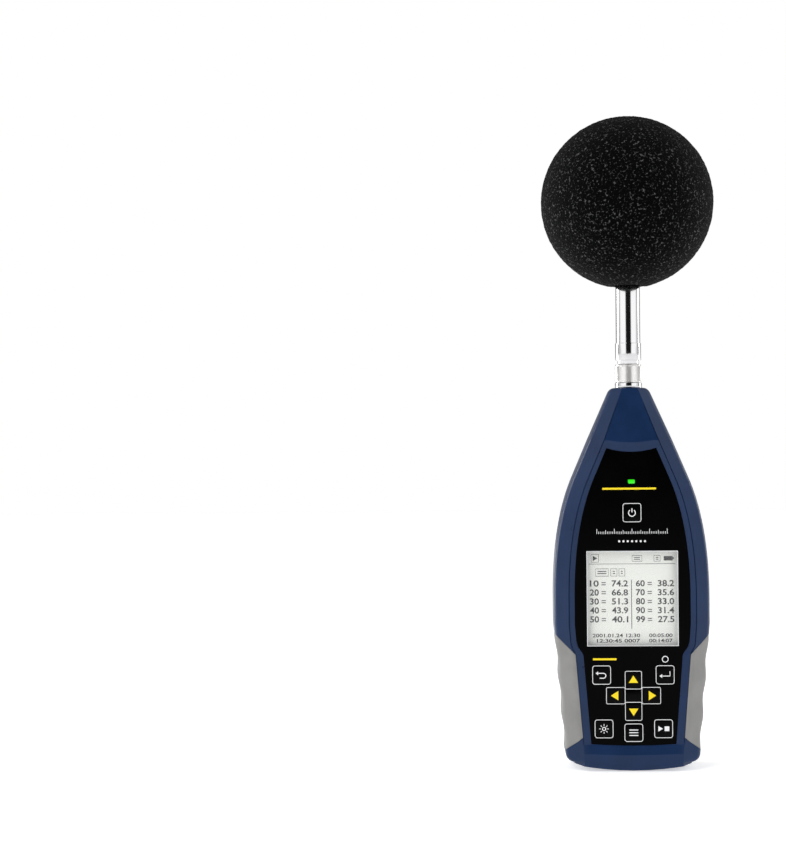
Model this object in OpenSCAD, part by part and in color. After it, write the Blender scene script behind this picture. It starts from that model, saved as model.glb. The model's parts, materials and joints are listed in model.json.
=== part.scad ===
// Handheld sound level meter with a screw-on preamplifier, half-inch microphone
// and a foam windscreen ball. Sizes in millimetres.
// +Z is up, the display faces -Y, the microphone axis is the Z axis.
// Z is zero at the lowest point of the case.

/* [Case] */
// Width across the widest part of the case
body_width = 80; // [80:0.5:96]
// Height of the case without the microphone
body_height = 196.5; // [196:0.5:236]
// Depth of the case, front to back
body_depth = 36; // [30:0.5:44]
// Width of the flat top of the nose
nose_width = 19.7; // [18:0.1:24]
// Width at the foot
foot_width = 68; // [67:0.5:80]
// Thickness of the case wall
wall = 2.2; // [1.8:0.1:2.6]
// Thickness of the rubber grips
grip_thick = 1.8; // [1.5:0.1:2.2]
// Radius of the curved foot
foot_arc = 155; // [120:5:200]

/* [Front] */
// Width of the display opening
lcd_width = 46.1; // [40:0.1:47]
// Height of the display opening
lcd_height = 48.2; // [40:0.1:49]
// Height of the middle of the display above the foot
lcd_z = 88.2; // [87:0.1:92]
// How far a key goes in when pressed
key_travel = 0.5; // [0.3:0.05:0.5]
// Gap around each key
key_gap = 0.2; // [0.15:0.05:0.3]

/* [Microphone] */
// Diameter of the preamplifier tube
tube_dia = 12.7; // [11:0.1:14]
// Height of the microphone's face above the nose
mic_reach = 103.5; // [90:0.5:125]
// Diameter of the foam windscreen
screen_dia = 90; // [60:1:110]
// Gap between the foam's bore and the tube, on the radius
screen_gap = 0.4; // [0.3:0.05:0.8]

/* [Battery] */
// Diameter of one AA cell
cell_dia = 14.2; // [13.5:0.1:14.5]
// Length of one AA cell with its tip
cell_len = 50.5; // [48:0.1:50.5]

/* [Hidden] */
$fn = 32;
H = body_height;
F = body_depth / 2;
hw = body_width / 2;
ft = foot_width / 2;
nw = nose_width / 2;
// outline: straight nose, a curve to full width, then a straight taper to the foot
z_sh = H - 46.5;
x_sh = hw - 10.3;
slope = (x_sh - nw) / 46.5;
z_ctl = z_sh - (hw - x_sh) / slope;
z_wide = 88;
z_tap = 75;
qa = z_sh - 2 * z_ctl + z_wide;
qb = z_sh - z_ctl;
cf = 5.5;
cr = 5;
band_r = 5.5;
edge = 0.9;
// depth planes, front to back
y_panel = -F + 1;
y_seat = -F + 1.5;
y_inner = y_seat + wall;
y_board = y_inner + 3.1;
y_back = y_board + 1.6;
y_rear = F - wall;
key_face = -F + 0.1;
dome_h = 0.35;
stem_end = y_board - dome_h - key_travel - 0.1;
// battery bay
pitch = cell_dia + 0.4;
cell_y = F - 10.5;
bay_y = cell_y - cell_dia / 2;
bay_x = 2 * pitch + 0.1;
bay_z0 = 18.3;
bay_z1 = bay_z0 + 7.9 + cell_len;
cover_x = bay_x - 0.1;
cover_z0 = bay_z0 - 0.7;
cover_z1 = bay_z1 + 0.7;
hook_x = 15;
// display frame, half-width and half-height
lx = lcd_width / 2 + 3.5;
lz = lcd_height / 2 + 4.4;
// tripod bush
bush_z = 105;
bush_r = 5;
bush_len = 11;
bush_gap = 0.12;
thread_r = 3.175;
// microphone
tr = tube_dia / 2;
M = H + mic_reach;
T = M - 14;
ball_z = M - 7;
bore_r = tr + screen_gap;

navy = [0.10, 0.15, 0.28];
black = [0.06, 0.06, 0.07];
grey = [0.55, 0.55, 0.54];
steel = [0.75, 0.76, 0.78];
brass = [0.78, 0.62, 0.30];
green = [0.10, 0.38, 0.22];
white = [0.92, 0.92, 0.90];

// name, x, z, width, height, side that carries the outer lip (0 all round)
keys = [
    ["power", 0, 132.3, 9.7, 9.9, [0, 0]],
    ["escape", -16.2, 49.1, 9.7, 9.9, [0, 0]],
    ["enter", 16.2, 49.1, 9.7, 9.9, [0, 0]],
    ["up", 0, 46.65, 9.4, 8.5, [0, 1]],
    ["left", -9.375, 38.5, 8.75, 9.4, [-1, 0]],
    ["right", 9.375, 38.5, 8.75, 9.4, [1, 0]],
    ["down", 0, 30.25, 9.4, 8.7, [0, -1]],
    ["light", -15.2, 21.5, 9.7, 9.7, [0, 0]],
    ["menu", 0, 19.5, 9.7, 9.5, [0, 0]],
    ["start_stop", 15.2, 21.5, 9.7, 9.7, [0, 0]]
];
case_posts = [[-25, 9.5], [25, 9.5], [-31, 88], [31, 88], [-16, H - 38.5], [16, H - 38.5]];
board_posts = [[-25, 56.5], [25, 56.5], [-26, 27], [26, 27], [-20, 139], [20, 139]];

function clamp01(v) = min(1, max(0, v));
function smooth(v) = let (c = clamp01(v)) c * c * (3 - 2 * c);
function bez(z) = (qb - sqrt(qb * qb - qa * (z_sh - z))) / qa;
// half-width of the case at height z
function w(z) = z >= H - 2.4 ? line_w(H - 2.4) - round_off(2.4, (z - H + 2.4) / 2.4) + (H - 2.4 - z) * slope
    : z < 3.6 ? line_w(3.6) - 4
    : z < 7.6 ? line_w(z) - round_off(4, (7.6 - z) / 4)
    : line_w(z);
function round_off(r, u) = r * (1 - sqrt(max(0, 1 - u * u)));
function line_w(z) = z >= z_sh ? nw + (H - z) * slope
    : z >= z_wide ? hw - (hw - x_sh) * pow(1 - bez(z), 2)
    : z >= z_tap ? hw
    : ft + z * (hw - ft) / z_tap;
// half-depth at height z: the nose thins towards the top
function d(z) = F - (F - nw) * clamp01((z - (H - 27)) / 27);
// half-width of the front facet at height z
function g(z) = line_w(z) - 6.3 - 1.1 * clamp01((H - z) / 27);
// heights at which the case sections are drawn
levels = concat([0, 3.6, 4.2, 5.4, 7.6, 16, 24, 32, 40, 48, 56, 64, 70, z_tap, 80],
    [for (z = [z_wide:5:z_sh - 2]) z],
    [z_sh, H - 40, H - 33, H - 27, H - 18, H - 9, H - 2.4, H - 1.2, H - 0.4, H]);
function cut(a, b) = concat([a], [for (z = levels) if (z > a + 0.2 && z < b - 0.2) z], [b]);
// one section of the case, moved in by ix at the sides and iy at front and back
function half_ring(z, ix, iy) = let (
    W = w(z), G = g(z), D = d(z), a = W - G, L = norm([a, cf]),
    x1 = G + (a * iy - ix * L) / cf,
    y2 = D - (cf * (W - ix - G) + ix * L) / a,
    r = W - band_r, Lr = norm([band_r, cr]),
    x3 = r + (band_r * iy - ix * Lr) / cr,
    y4 = D - (cr * (W - ix - r) + ix * Lr) / band_r)
    [[x1, -(D - iy)], [W - ix - edge, -y2 - edge * cf / a], [W - ix, -y2 + edge],
     [W - ix, y4 - edge], [W - ix - edge, y4 + edge * cr / band_r], [x3, D - iy]];
function ring(z, ix, iy) = let (h = half_ring(z, ix, iy))
    concat([for (p = h) [p[0], p[1], z]], [for (i = [5:-1:0]) [-h[i][0], h[i][1], z]]);
// inset of the cavity: thicker under the grips
function cav(z) = wall + grip_thick * clamp01((80 - z) / 6);

// joins rings of n points into a closed solid
function skin(count, n) = concat([[for (i = [0:n - 1]) i]],
    [for (k = [0:count - 2]) for (i = [0:n - 1]) let (j = (i + 1) % n)
        [k * n + i, (k + 1) * n + i, (k + 1) * n + j]],
    [for (k = [0:count - 2]) for (i = [0:n - 1]) let (j = (i + 1) % n)
        [k * n + i, (k + 1) * n + j, k * n + j]],
    [[for (i = [n - 1:-1:0]) (count - 1) * n + i]]);
module loft(rings) {
    polyhedron([for (r = rings) for (p = r) p], skin(len(rings), len(rings[0])), convexity = 6);
}
module case_solid(ix, iy, lo, hi) {
    loft([for (z = cut(lo, hi)) ring(z, ix, iy)]);
}
module cavity() {
    intersection() {
        loft([for (z = cut(0, H - 4)) ring(z, cav(z), wall)]);
        slab(y_inner, F + 1)
            foot_shape(2.4);
    }
}
module box(x0, x1, y0, y1, z0, z1) {
    translate([x0, y0, z0])
        cube([x1 - x0, y1 - y0, z1 - z0]);
}
// a flat shape drawn in X and Z, as a slab from y0 to y1
module slab(y0, y1) {
    translate([0, y1, 0])
        rotate([90, 0, 0])
            linear_extrude(height = y1 - y0)
                children();
}
module rod(x, z, y0, y1, r) {
    translate([x, y1, z])
        rotate([90, 0, 0])
            cylinder(h = y1 - y0, r = r);
}
module up(z0, z1, r) {
    translate([0, 0, z0])
        cylinder(h = z1 - z0, r = r);
}
module rounded(x, z, sx, sz, r) {
    translate([x, z])
        union() {
            square([sx - 2 * r, sz], center = true);
            square([sx, sz - 2 * r], center = true);
            for (i = [-1, 1])
                for (j = [-1, 1])
                    translate([i * (sx / 2 - r), j * (sz / 2 - r)])
                        circle(r);
        }
}
// keeps a many-sided solid as one mesh
module meshed() {
    resize([0, 0, 0])
        children();
}

// front outlines: o1 is the inset from the case side above the shoulder, o2 below it
function side(z, o1, o2) = w(z) - o1 - (o2 - o1) * smooth((65 - z) / 6);
function outline(o1, o2, lo, hi, sag, drop) = let (
    n = 40, m = 10, xt = side(hi, o1, o2), xb = side(lo, o1, o2),
    rz = [for (i = [0:n]) lo + (hi - lo) * i / n])
    concat([for (z = rz) [side(z, o1, o2), z]],
        [for (i = [1:m - 1]) let (u = 1 - 2 * i / m) [u * xt, hi - sag * (1 - u * u)]],
        [for (i = [n:-1:0]) [-side(rz[i], o1, o2), rz[i]]],
        [for (i = [1:m - 1]) let (u = -1 + 2 * i / m) [u * xb, lo - drop * (1 - u * u)]]);
panel_line = outline(10.3, 13.3, 13.5, H - 31, 2, 0.8);
bevel_line = outline(7.6, 9.5, 8.5, H - 27, 1, 0.5);
// sloping recess that frames the front panel
module pan() {
    loft([[for (p = panel_line) [p[0], y_seat, p[1]]],
          [for (p = panel_line) [p[0], y_panel, p[1]]],
          [for (p = bevel_line) [p[0], -F, p[1]]],
          [for (p = bevel_line) [p[0], -F - 2, p[1]]]]);
}
// everything above the curved foot, or above a line inset from it
module foot_shape(inset) {
    translate([0, foot_arc])
        circle(foot_arc - inset, $fn = 360);
}

// area of one grip; o is how far its inner edge lies from the case side
function grip_top(x) = 59.5 + 0.98 * (x - hw + 10.7);
function grip_foot(x) = 16.8 - 0.778 * (x - w(16.8) + 9.3);
module grip_area(o, gap) {
    xa = w(60) - o;
    xb = w(16.8) - o;
    offset(delta = -gap)
        polygon(concat([[xa, grip_top(xa)], [hw + 4, grip_top(hw + 4)], [hw + 4, grip_foot(hw + 4)],
            [xb, grip_foot(xb)]], [for (z = [22:6:58]) [w(z) - o, z]]));
}
module grip_zone(gap) {
    difference() {
        slab(-F - 2, F + 2)
            grip_area(9.3, gap);
        slab(0, F + 3)
            polygon(concat([[0, 0]], [for (z = [0:8:88]) [line_w(z) - 5.3 + gap, z]], [[0, 88]]));
    }
}
module grip_space() {
    for (s = [0, 1])
        mirror([s, 0, 0])
            difference() {
                grip_zone(0);
                case_solid(grip_thick, grip_thick, -1, 90);
            }
}
module grip() {
    intersection() {
        difference() {
            case_solid(0, 0, 0, 90);
            case_solid(grip_thick, grip_thick, -1, 91);
        }
        grip_zone(0.15);
        slab(-F - 2, F + 2)
            polygon(concat([[0, 0]], [for (z = [4:1.5:73]) [w(z) - 0.4 + 0.4 * cos(18.5 * (z - 46.5)), z]],
                [[0, 75]]));
    }
}

module seal_ring() {
    slab(-0.6, 0.6)
        difference() {
            seal_line(1.4);
            seal_line(0.6);
        }
}
module seal_line(o) {
    intersection() {
        polygon(concat([for (z = cut(0, H - 4)) [w(z) - cav(z) + o, z >= H - 4 ? z + o : z]],
            [for (i = cut(0, H - 4)) let (z = H - 4 - i) [-(w(z) - cav(z) + o), z >= H - 4 ? z + o : z]]));
        foot_shape(2.4 - o);
    }
}

module key_holes(gap) {
    for (k = keys)
        rounded(k[1], k[2], k[3] + 2 * gap, k[4] + 2 * gap, 1.5);
    translate([0, 38.5])
        square([12, 10], center = true);
}
module port_cuts() {
    box(-6.95, 1.45, y_back - 0.2, y_back + 4.3, -1, 5);
    box(-20.3, -8.3, y_back - 0.1, y_back + 1.9, -1, 5);
    translate([5.2, y_back + 3.25, -1])
        cylinder(h = 6, r = 2.9);
    translate([13.9, y_back + 3.6, -1])
        cylinder(h = 6, r = 3.4);
}

module front_shell() {
    color(navy)
        meshed()
            difference() {
                union() {
                    difference() {
                        intersection() {
                            case_solid(0, 0, -1, H);
                            slab(-F - 1, 0)
                                foot_shape(0);
                        }
                        cavity();
                    }
                    for (p = case_posts)
                        rod(p[0], p[1], y_inner - 0.5, 0, 3.1);
                    for (p = board_posts)
                        rod(p[0], p[1], y_inner - 0.5, y_board, 2.4);
                }
                pan();
                grip_space();
                seal_ring();
                up(H - 9, H + 1, 5.6);
                slab(y_seat - 0.1, y_inner + 0.1)
                    key_holes(key_gap);
                box(-lcd_width / 2 - 0.3, lcd_width / 2 + 0.3, y_seat - 0.1, y_inner + 0.1,
                    lcd_z - lcd_height / 2 - 0.3, lcd_z + lcd_height / 2 + 0.3);
                box(-lcd_width / 2 - 2.1, lcd_width / 2 + 2.1, y_seat - 0.1, y_seat + 1.2,
                    lcd_z - lcd_height / 2 - 2, lcd_z + lcd_height / 2 + 2);
                box(-2, 2, y_seat - 0.1, y_inner + 0.1, 146.9, 149.5);
                for (p = case_posts)
                    rod(p[0], p[1], -8, 1, 1.5);
                for (p = board_posts)
                    rod(p[0], p[1], y_inner, y_board + 0.1, 1.15);
                port_cuts();
            }
}

module rear_shell() {
    color(navy)
        meshed()
            difference() {
                union() {
                    difference() {
                        intersection() {
                            case_solid(0, 0, -1, H);
                            slab(0, F + 1)
                                foot_shape(0);
                        }
                        cavity();
                    }
                    for (p = case_posts)
                        rod(p[0], p[1], 0, y_rear + 0.5, 3.1);
                    rod(0, bush_z, F - bush_len, y_rear + 0.5, bush_r + 3);
                }
                grip_space();
                seal_ring();
                up(H - 9, H + 1, 5.6);
                for (p = case_posts) {
                    rod(p[0], p[1], -1, F, 1.7);
                    rod(p[0], p[1], F - 2.6, F + 1, 2.9);
                }
                rod(0, bush_z, F - bush_len - 1, F + 1, bush_r + bush_gap);
                box(-cover_x - 0.2, cover_x + 0.2, F - 1.5, F + 1, cover_z0 - 0.2, cover_z1 + 0.2);
                box(-bay_x, bay_x, 8, F + 1, bay_z0 + 1.2, bay_z1 - 1.2);
                for (s = [-1, 1])
                    box(s * hook_x - 4, s * hook_x + 4, y_rear - 1.5, F - 1.4, bay_z1 - 1.3, cover_z1 + 0.2);
            }
}

module case_seal() {
    color(black)
        meshed()
            difference() {
                seal_ring();
                up(H - 9, H + 1, 5.6);
            }
}
module right_grip() {
    color(grey)
        meshed()
            grip();
}
module left_grip() {
    color(grey)
        meshed()
            mirror([1, 0, 0])
                grip();
}

module front_panel() {
    color(black)
        slab(y_panel, y_seat)
            difference() {
                offset(delta = -0.15)
                    polygon(panel_line);
                key_holes(key_gap);
                translate([0, lcd_z])
                    square([lcd_width, lcd_height], center = true);
                translate([0, 148.2])
                    square([4, 2.6], center = true);
            }
}
module lcd_window() {
    color([0.8, 0.85, 0.88, 0.4])
        box(-lcd_width / 2 - 2, lcd_width / 2 + 2, y_seat, y_seat + 1.2,
            lcd_z - lcd_height / 2 - 1.9, lcd_z + lcd_height / 2 + 1.9);
}
module lcd_bezel() {
    color(steel)
        difference() {
            box(-lx, lx, y_inner + 0.1, y_board, lcd_z - lz, lcd_z + lz);
            box(-lx + 0.4, lx - 0.4, y_inner + 0.5, y_board + 1, lcd_z - lz + 0.4, lcd_z + lz - 0.4);
            box(-lx + 2.6, lx - 2.6, y_inner - 1, y_board, lcd_z - lz + 3.4, lcd_z + lz - 3.4);
        }
}
module lcd_glass() {
    color([0.80, 0.82, 0.78])
        box(-lx + 0.4, lx - 0.4, y_inner + 0.5, y_inner + 2.1, lcd_z - lz + 0.4, lcd_z + lz - 0.4);
}
module lcd_backlight() {
    color(white)
        box(-lx + 0.4, lx - 0.4, y_inner + 2.1, y_board, lcd_z - lz + 0.4, lcd_z + lz - 0.4);
}

module main_board() {
    color(green)
        slab(y_board, y_back)
            difference() {
                polygon([[20, 4.4], [20, 14], [29.2, 16], [29.2, 78], [27.4, 80], [27.4, 120], [23, 144],
                    [18, 152], [-18, 152], [-23, 144], [-27.4, 120], [-27.4, 80], [-29.2, 78], [-29.2, 16],
                    [-20, 14], [-20, 4.4]]);
                for (p = board_posts)
                    translate(p)
                        circle(1.3);
            }
}
module processor_chip() {
    color(black)
        box(-18, -4, y_back, y_back + 1.4, 103, 117);
}
module board_chips() {
    color(black) {
        box(6, 16, y_back, y_back + 1.6, 106, 118);
        box(-15, -7, y_back, y_back + 1.2, 84, 94);
        box(4, 14, y_back, y_back + 1.2, 84, 90);
        box(-1.4, 1.4, y_board - 0.6, y_board, 147.3, 149.1);
    }
}
module backup_cell() {
    color(steel)
        rod(12, 132, y_back, y_back + 2.5, 6.2);
}
module snap_domes() {
    color(steel)
        for (k = keys)
            rod(k[1], k[2], y_board - dome_h, y_board, 3);
}
module pad_hub() {
    color(black) {
        slab(-F + 0.8, y_inner - 0.6)
            square_at(0, 38.5, 9.3, 7.1);
        slab(y_inner - 0.6, y_board)
            square_at(0, 38.5, 5.8, 4.4);
    }
}
module square_at(x, z, sx, sz) {
    translate([x, z])
        square([sx, sz], center = true);
}
module led_lens() {
    color([0.3, 0.85, 0.2]) {
        box(-1.9, 1.9, y_panel - 0.2, y_inner + 0.2, 147.05, 149.35);
        box(-2.6, 2.6, y_inner + 0.1, y_board - 0.6, 146.3, 150.1);
    }
}

// a key: cap, lip behind the front wall and a stem over its dome
module key(name) {
    k = [for (q = keys) if (q[0] == name) q][0];
    o = k[5];
    lip = 0.6;
    r = o == [0, 0] ? 1.5 : 1.2;
    color(black) {
        slab(key_face, y_inner + 0.3)
            rounded(k[1], k[2], k[3], k[4], r);
        slab(y_inner + 0.3, y_inner + 1.1)
            union() {
                rounded(k[1], k[2], k[3], k[4], 1.2);
                if (o == [0, 0])
                    square_at(k[1], k[2], k[3] + 2 * lip, k[4] + 2 * lip);
                if (o != [0, 0]) {
                    square_at(k[1] + o[0] * (k[3] / 2 + lip / 2 - 0.5),
                        k[2] + o[1] * (k[4] / 2 + lip / 2 - 0.5),
                        o[0] == 0 ? 6 : lip + 1, o[1] == 0 ? 6 : lip + 1);
                    square_at(k[1] - o[0] * (k[3] / 2 + 0.2), k[2] - o[1] * (k[4] / 2 + 0.2),
                        o[0] == 0 ? 4 : 2, o[1] == 0 ? 3.6 : 1.6);
                }
            }
        rod(k[1], k[2], y_inner + 1, stem_end, 1.6);
    }
}
module key_power() { key("power"); }
module key_escape() { key("escape"); }
module key_enter() { key("enter"); }
module key_up() { key("up"); }
module key_left() { key("left"); }
module key_right() { key("right"); }
module key_down() { key("down"); }
module key_light() { key("light"); }
module key_menu() { key("menu"); }
module key_start_stop() { key("start_stop"); }

module battery_tray() {
    color(black)
        difference() {
            union() {
                box(-bay_x - 1.2, bay_x + 1.2, bay_y - 1.5, bay_y, bay_z0 - 1.3, bay_z1 + 1.3);
                for (s = [-1, 1])
                    box(s > 0 ? bay_x + 0.1 : -bay_x - 1.2, s > 0 ? bay_x + 1.2 : -bay_x - 0.1,
                        bay_y - 0.5, F - 7.8, bay_z0 - 1.3, bay_z1 + 1.3);
                for (z = [bay_z0 - 1.3, bay_z1]) {
                    box(-bay_x - 1.2, bay_x + 1.2, bay_y - 0.5, F - 7.8, z, z + 1.3);
                    box(-25.5, 25.5, bay_y - 0.5, y_rear, z, z + 1.3);
                }
                for (i = [-1:1])
                    box(i * pitch - 0.5, i * pitch + 0.5, bay_y - 0.1, bay_y + 1.6, bay_z0 + 8, bay_z1 - 8);
            }
            for (s = [-1, 1]) {
                box(s * hook_x - 4, s * hook_x + 4, F - 8, F, bay_z1 - 0.1, bay_z1 + 1.4);
                box(s * 1.5 * pitch - 1.6, s * 1.5 * pitch + 1.6, bay_y - 2, bay_y + 0.1,
                    bay_z1 - 0.55, bay_z1);
            }
        }
}
// an AA cell; tip is 1 when its positive end points up
module cell(i, tip) {
    translate([(i - 2.5) * pitch, cell_y, tip > 0 ? bay_z1 - 2 - cell_len : bay_z0 + 2 + cell_len])
        mirror([0, 0, tip > 0 ? 0 : 1]) {
            up(0, cell_len - 1.3, cell_dia / 2);
            up(cell_len - 1.4, cell_len, 2.7);
        }
}
module battery_1() {
    color(steel)
        cell(1, 1);
}
module battery_2() {
    color(steel)
        cell(2, -1);
}
module battery_3() {
    color(steel)
        cell(3, 1);
}
module battery_4() {
    color(steel)
        cell(4, -1);
}
module coil(r1, r2, h, turns, wire) {
    n = 56;
    m = 6;
    loft([for (i = [0:n]) let (a = 360 * turns * i / n, r = r1 + (r2 - r1) * i / n,
        z = wire + (h - 2 * wire) * i / n) [for (j = [m - 1:-1:0]) let (b = 60 * j)
            [(r + wire * cos(b)) * cos(a), (r + wire * cos(b)) * sin(a), z + wire * sin(b)]]]);
}
module battery_springs() {
    color(steel)
        meshed()
            for (i = [1:4])
                translate([(i - 2.5) * pitch, cell_y, i % 2 == 1 ? bay_z0 + 0.5 : bay_z1 - 0.5])
                    mirror([0, 0, i % 2 == 1 ? 0 : 1])
                        coil(4.2, 2.6, 5.4, 4, 0.45);
}
module contact_plate(i, j, top) {
    z = top ? bay_z1 - 0.5 : bay_z0;
    box((i - 2.5) * pitch - 5, (j - 2.5) * pitch + 5, cell_y - 5, cell_y + 5, z, z + 0.5);
}
module contact_button(i, top) {
    translate([(i - 2.5) * pitch, cell_y, top ? bay_z1 - 2 : bay_z0 + 0.4])
        cylinder(h = 1.6, r = 2.5);
}
module battery_contacts() {
    color(steel) {
        union() {
            contact_plate(1, 2, false);
            contact_button(2, false);
        }
        union() {
            contact_plate(3, 4, false);
            contact_button(4, false);
        }
        union() {
            contact_plate(2, 3, true);
            contact_button(3, true);
        }
        for (i = [1, 4])
            union() {
                contact_plate(i, i, true);
                if (i == 1)
                    contact_button(1, true);
                box((i - 2.5) * pitch - 1.5, (i - 2.5) * pitch + 1.5, y_back, cell_y - 4,
                    bay_z1 - 0.5, bay_z1);
            }
    }
}
module battery_cover() {
    color(navy)
        difference() {
            union() {
                box(-cover_x, cover_x, F - 1.4, F, cover_z0, cover_z1);
                for (s = [-1, 1]) {
                    box(s * hook_x - 3, s * hook_x + 3, y_rear - 1.2, F - 1.3, cover_z1 - 1.7, cover_z1 - 0.3);
                    box(s * hook_x - 3, s * hook_x + 3, y_rear - 1.2, y_rear - 0.2,
                        cover_z1 - 1.7, cover_z1 + 1.6);
                }
            }
            for (z = [22, 24.5, 27])
                box(-12, 12, F - 0.6, F + 1, z, z + 1);
        }
}

module mic_socket() {
    color(steel)
        difference() {
            union() {
                up(H - 10, H, 5.5);
                up(H, H + 2.5, 7);
                up(H + 2.5, H + 6.6, 4.7);
            }
            up(H - 8.5, H + 7, 3.25);
            up(H - 11, H - 8, 1.3);
        }
}
module socket_nut() {
    color(steel)
        difference() {
            translate([0, 0, H - 6.5])
                cylinder(h = 2.5, r = 7.4, $fn = 6);
            up(H - 7, H - 3, 5.5);
        }
}
module socket_insulator() {
    color(white)
        difference() {
            up(H - 8.5, H + 3, 3.25);
            up(H - 9, H + 4, 1.3);
        }
}
module socket_contact() {
    color(brass)
        difference() {
            up(H - 12.5, H + 2, 1.3);
            up(H - 5, H + 3, 0.85);
        }
}
module signal_cable() {
    path = [[0, 0, H - 13.6], [0, 0, H - 19], [0, -3 * F / 18, H - 26], [0, (y_back + 1.1) * 0.82, H - 34],
        [0, y_back + 1.1, H - 40], [0, y_back + 1.1, 146]];
    color(black)
        meshed()
            for (i = [0:len(path) - 2])
                hull()
                    for (p = [path[i], path[i + 1]])
                        translate(p)
                            sphere(1.1, $fn = 12);
}
module coupling_nut() {
    n = 44;
    color(steel)
        difference() {
            union() {
                up(H + 2.7, H + 12.2, 6.7);
                translate([0, 0, H + 3.5])
                    linear_extrude(height = 7.9)
                        polygon([for (i = [0:2 * n - 1]) let (a = 180 * i / n, r = i % 2 == 0 ? 7 : 6.65)
                            [r * cos(a), r * sin(a)]]);
            }
            up(H + 2, H + 9.9, 5);
            up(H + 9, H + 13, 4.2);
        }
}
module preamp_tube() {
    color(steel)
        difference() {
            union() {
                up(H + 6.8, H + 9.6, 4.7);
                up(H + 9.6, H + 12.4, 4);
                up(H + 12.4, H + 14.4, 5.6);
                up(H + 14.4, H + 23.2, tr + 0.35);
                up(H + 23.2, T, tr);
            }
            up(H + 6, H + 16, 3.25);
            up(H + 15.5, T + 1, tr - 1);
        }
}
module preamp_insulator() {
    color(white)
        difference() {
            up(H + 6.8, H + 15.5, 3.25);
            up(H + 6, H + 16, 0.7);
        }
}
module preamp_pin() {
    color(brass)
        up(H - 3.5, H + 17.5, 0.7);
}
module preamp_board() {
    color(green)
        box(-tr + 1.4, tr - 1.4, -0.5, 0.5, H + 17.5, T - 3);
}
module mic_body() {
    color(steel)
        difference() {
            union() {
                up(T, M - 5.5, tr);
                up(M - 5.5, M - 2.5, tr - 0.35);
            }
            up(T + 1.5, M - 2, tr - 1.15);
            up(T - 1, T + 2, 1.6);
        }
}
module mic_backplate() {
    color(brass)
        union() {
            up(T - 3, M - 6, 1);
            up(M - 6, M - 2.9, tr - 1.15);
        }
}
module mic_diaphragm() {
    color(steel)
        up(M - 2.5, M - 2.2, tr - 0.35);
}
module mic_grid() {
    color(steel)
        difference() {
            up(M - 5.5, M, tr + 0.1);
            up(M - 6, M - 0.8, tr - 0.35);
            for (a = [0:60:120])
                rotate([0, 0, a])
                    for (s = [-1, 1])
                        box(s > 0 ? 1.6 : -tr + 1.2, s > 0 ? tr - 1.2 : -1.6, -0.5, 0.5, M - 1, M + 1);
        }
}
module windscreen() {
    color(black)
        difference() {
            translate([0, 0, ball_z])
                sphere(screen_dia / 2, $fn = 96);
            up(ball_z - screen_dia, M + 1, bore_r);
        }
}

module usb_socket() {
    color(steel)
        difference() {
            box(-6.6, 1.1, y_back, y_back + 3.9, 0.5, 9.5);
            box(-6.2, 0.7, y_back + 0.4, y_back + 3.5, 0, 9);
        }
}
module output_jack() {
    color(black)
        difference() {
            union() {
                box(2.2, 8.2, y_back, y_back + 6.3, 3, 14.5);
                translate([5.2, y_back + 3.25, 0.3])
                    cylinder(h = 3, r = 2.8);
            }
            translate([5.2, y_back + 3.25, 0])
                cylinder(h = 13.5, r = 1.8);
        }
}
module dc_jack() {
    color(black)
        difference() {
            union() {
                box(9.6, 18.2, y_back, y_back + 7, 3.8, 13);
                translate([13.9, y_back + 3.6, 0.8])
                    cylinder(h = 4, r = 3.3);
            }
            difference() {
                translate([13.9, y_back + 3.6, 0])
                    cylinder(h = 10.5, r = 2.75);
                translate([13.9, y_back + 3.6, 1.5])
                    cylinder(h = 10, r = 0.65);
            }
        }
}
module card_slot() {
    color(steel)
        difference() {
            box(-21, -7.6, y_back, y_back + 1.8, 4.2, 17.5);
            box(-19.95, -8.65, y_back + 0.35, y_back + 1.45, 2, 16.6);
        }
}
module memory_card() {
    color(black)
        box(-19.8, -8.8, y_back + 0.4, y_back + 1.4, 1, 16);
}
module case_screws() {
    color(steel)
        for (p = case_posts)
            union() {
                difference() {
                    rod(p[0], p[1], F - 2.6, F - 0.8, 2.7);
                    slab(F - 1.5, F)
                        square_at(p[0], p[1], 3.4, 0.6);
                    slab(F - 1.5, F)
                        square_at(p[0], p[1], 0.6, 3.4);
                }
                rod(p[0], p[1], -7, F - 2.6, 1.45);
            }
}
module board_screws() {
    color(steel)
        for (p = board_posts)
            union() {
                rod(p[0], p[1], y_back, y_back + 1.3, 2.1);
                rod(p[0], p[1], y_inner + 0.2, y_back, 1.1);
            }
}
module tripod_bush() {
    color(brass)
        difference() {
            union() {
                rod(0, bush_z, F - bush_len, F, bush_r);
                rod(0, bush_z, F - bush_len - 1.5, F - bush_len, bush_r + 2);
            }
            rod(0, bush_z, F - bush_len + 1.5, F + 1, thread_r);
        }
}

front_shell();
rear_shell();
case_seal();
left_grip();
right_grip();
front_panel();
lcd_window();
lcd_bezel();
lcd_glass();
lcd_backlight();
main_board();
processor_chip();
board_chips();
backup_cell();
snap_domes();
pad_hub();
led_lens();
key_power();
key_escape();
key_enter();
key_up();
key_left();
key_right();
key_down();
key_light();
key_menu();
key_start_stop();
battery_tray();
battery_1();
battery_2();
battery_3();
battery_4();
battery_springs();
battery_contacts();
battery_cover();
mic_socket();
socket_nut();
socket_insulator();
socket_contact();
signal_cable();
coupling_nut();
preamp_tube();
preamp_insulator();
preamp_pin();
preamp_board();
mic_body();
mic_backplate();
mic_diaphragm();
mic_grid();
windscreen();
usb_socket();
output_jack();
dc_jack();
card_slot();
memory_card();
case_screws();
board_screws();
tripod_bush();
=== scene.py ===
# %% [markdown]
# # A handheld sound level meter
# This lesson dresses a finished engineering model of a sound level meter. The model arrives as a
# frame of plain pieces in metres, +Z up, with the display facing -Y. Here the case, grips, keys,
# display, tube and foam ball get the shapes and finishes that the eye expects of the real thing.

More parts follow.
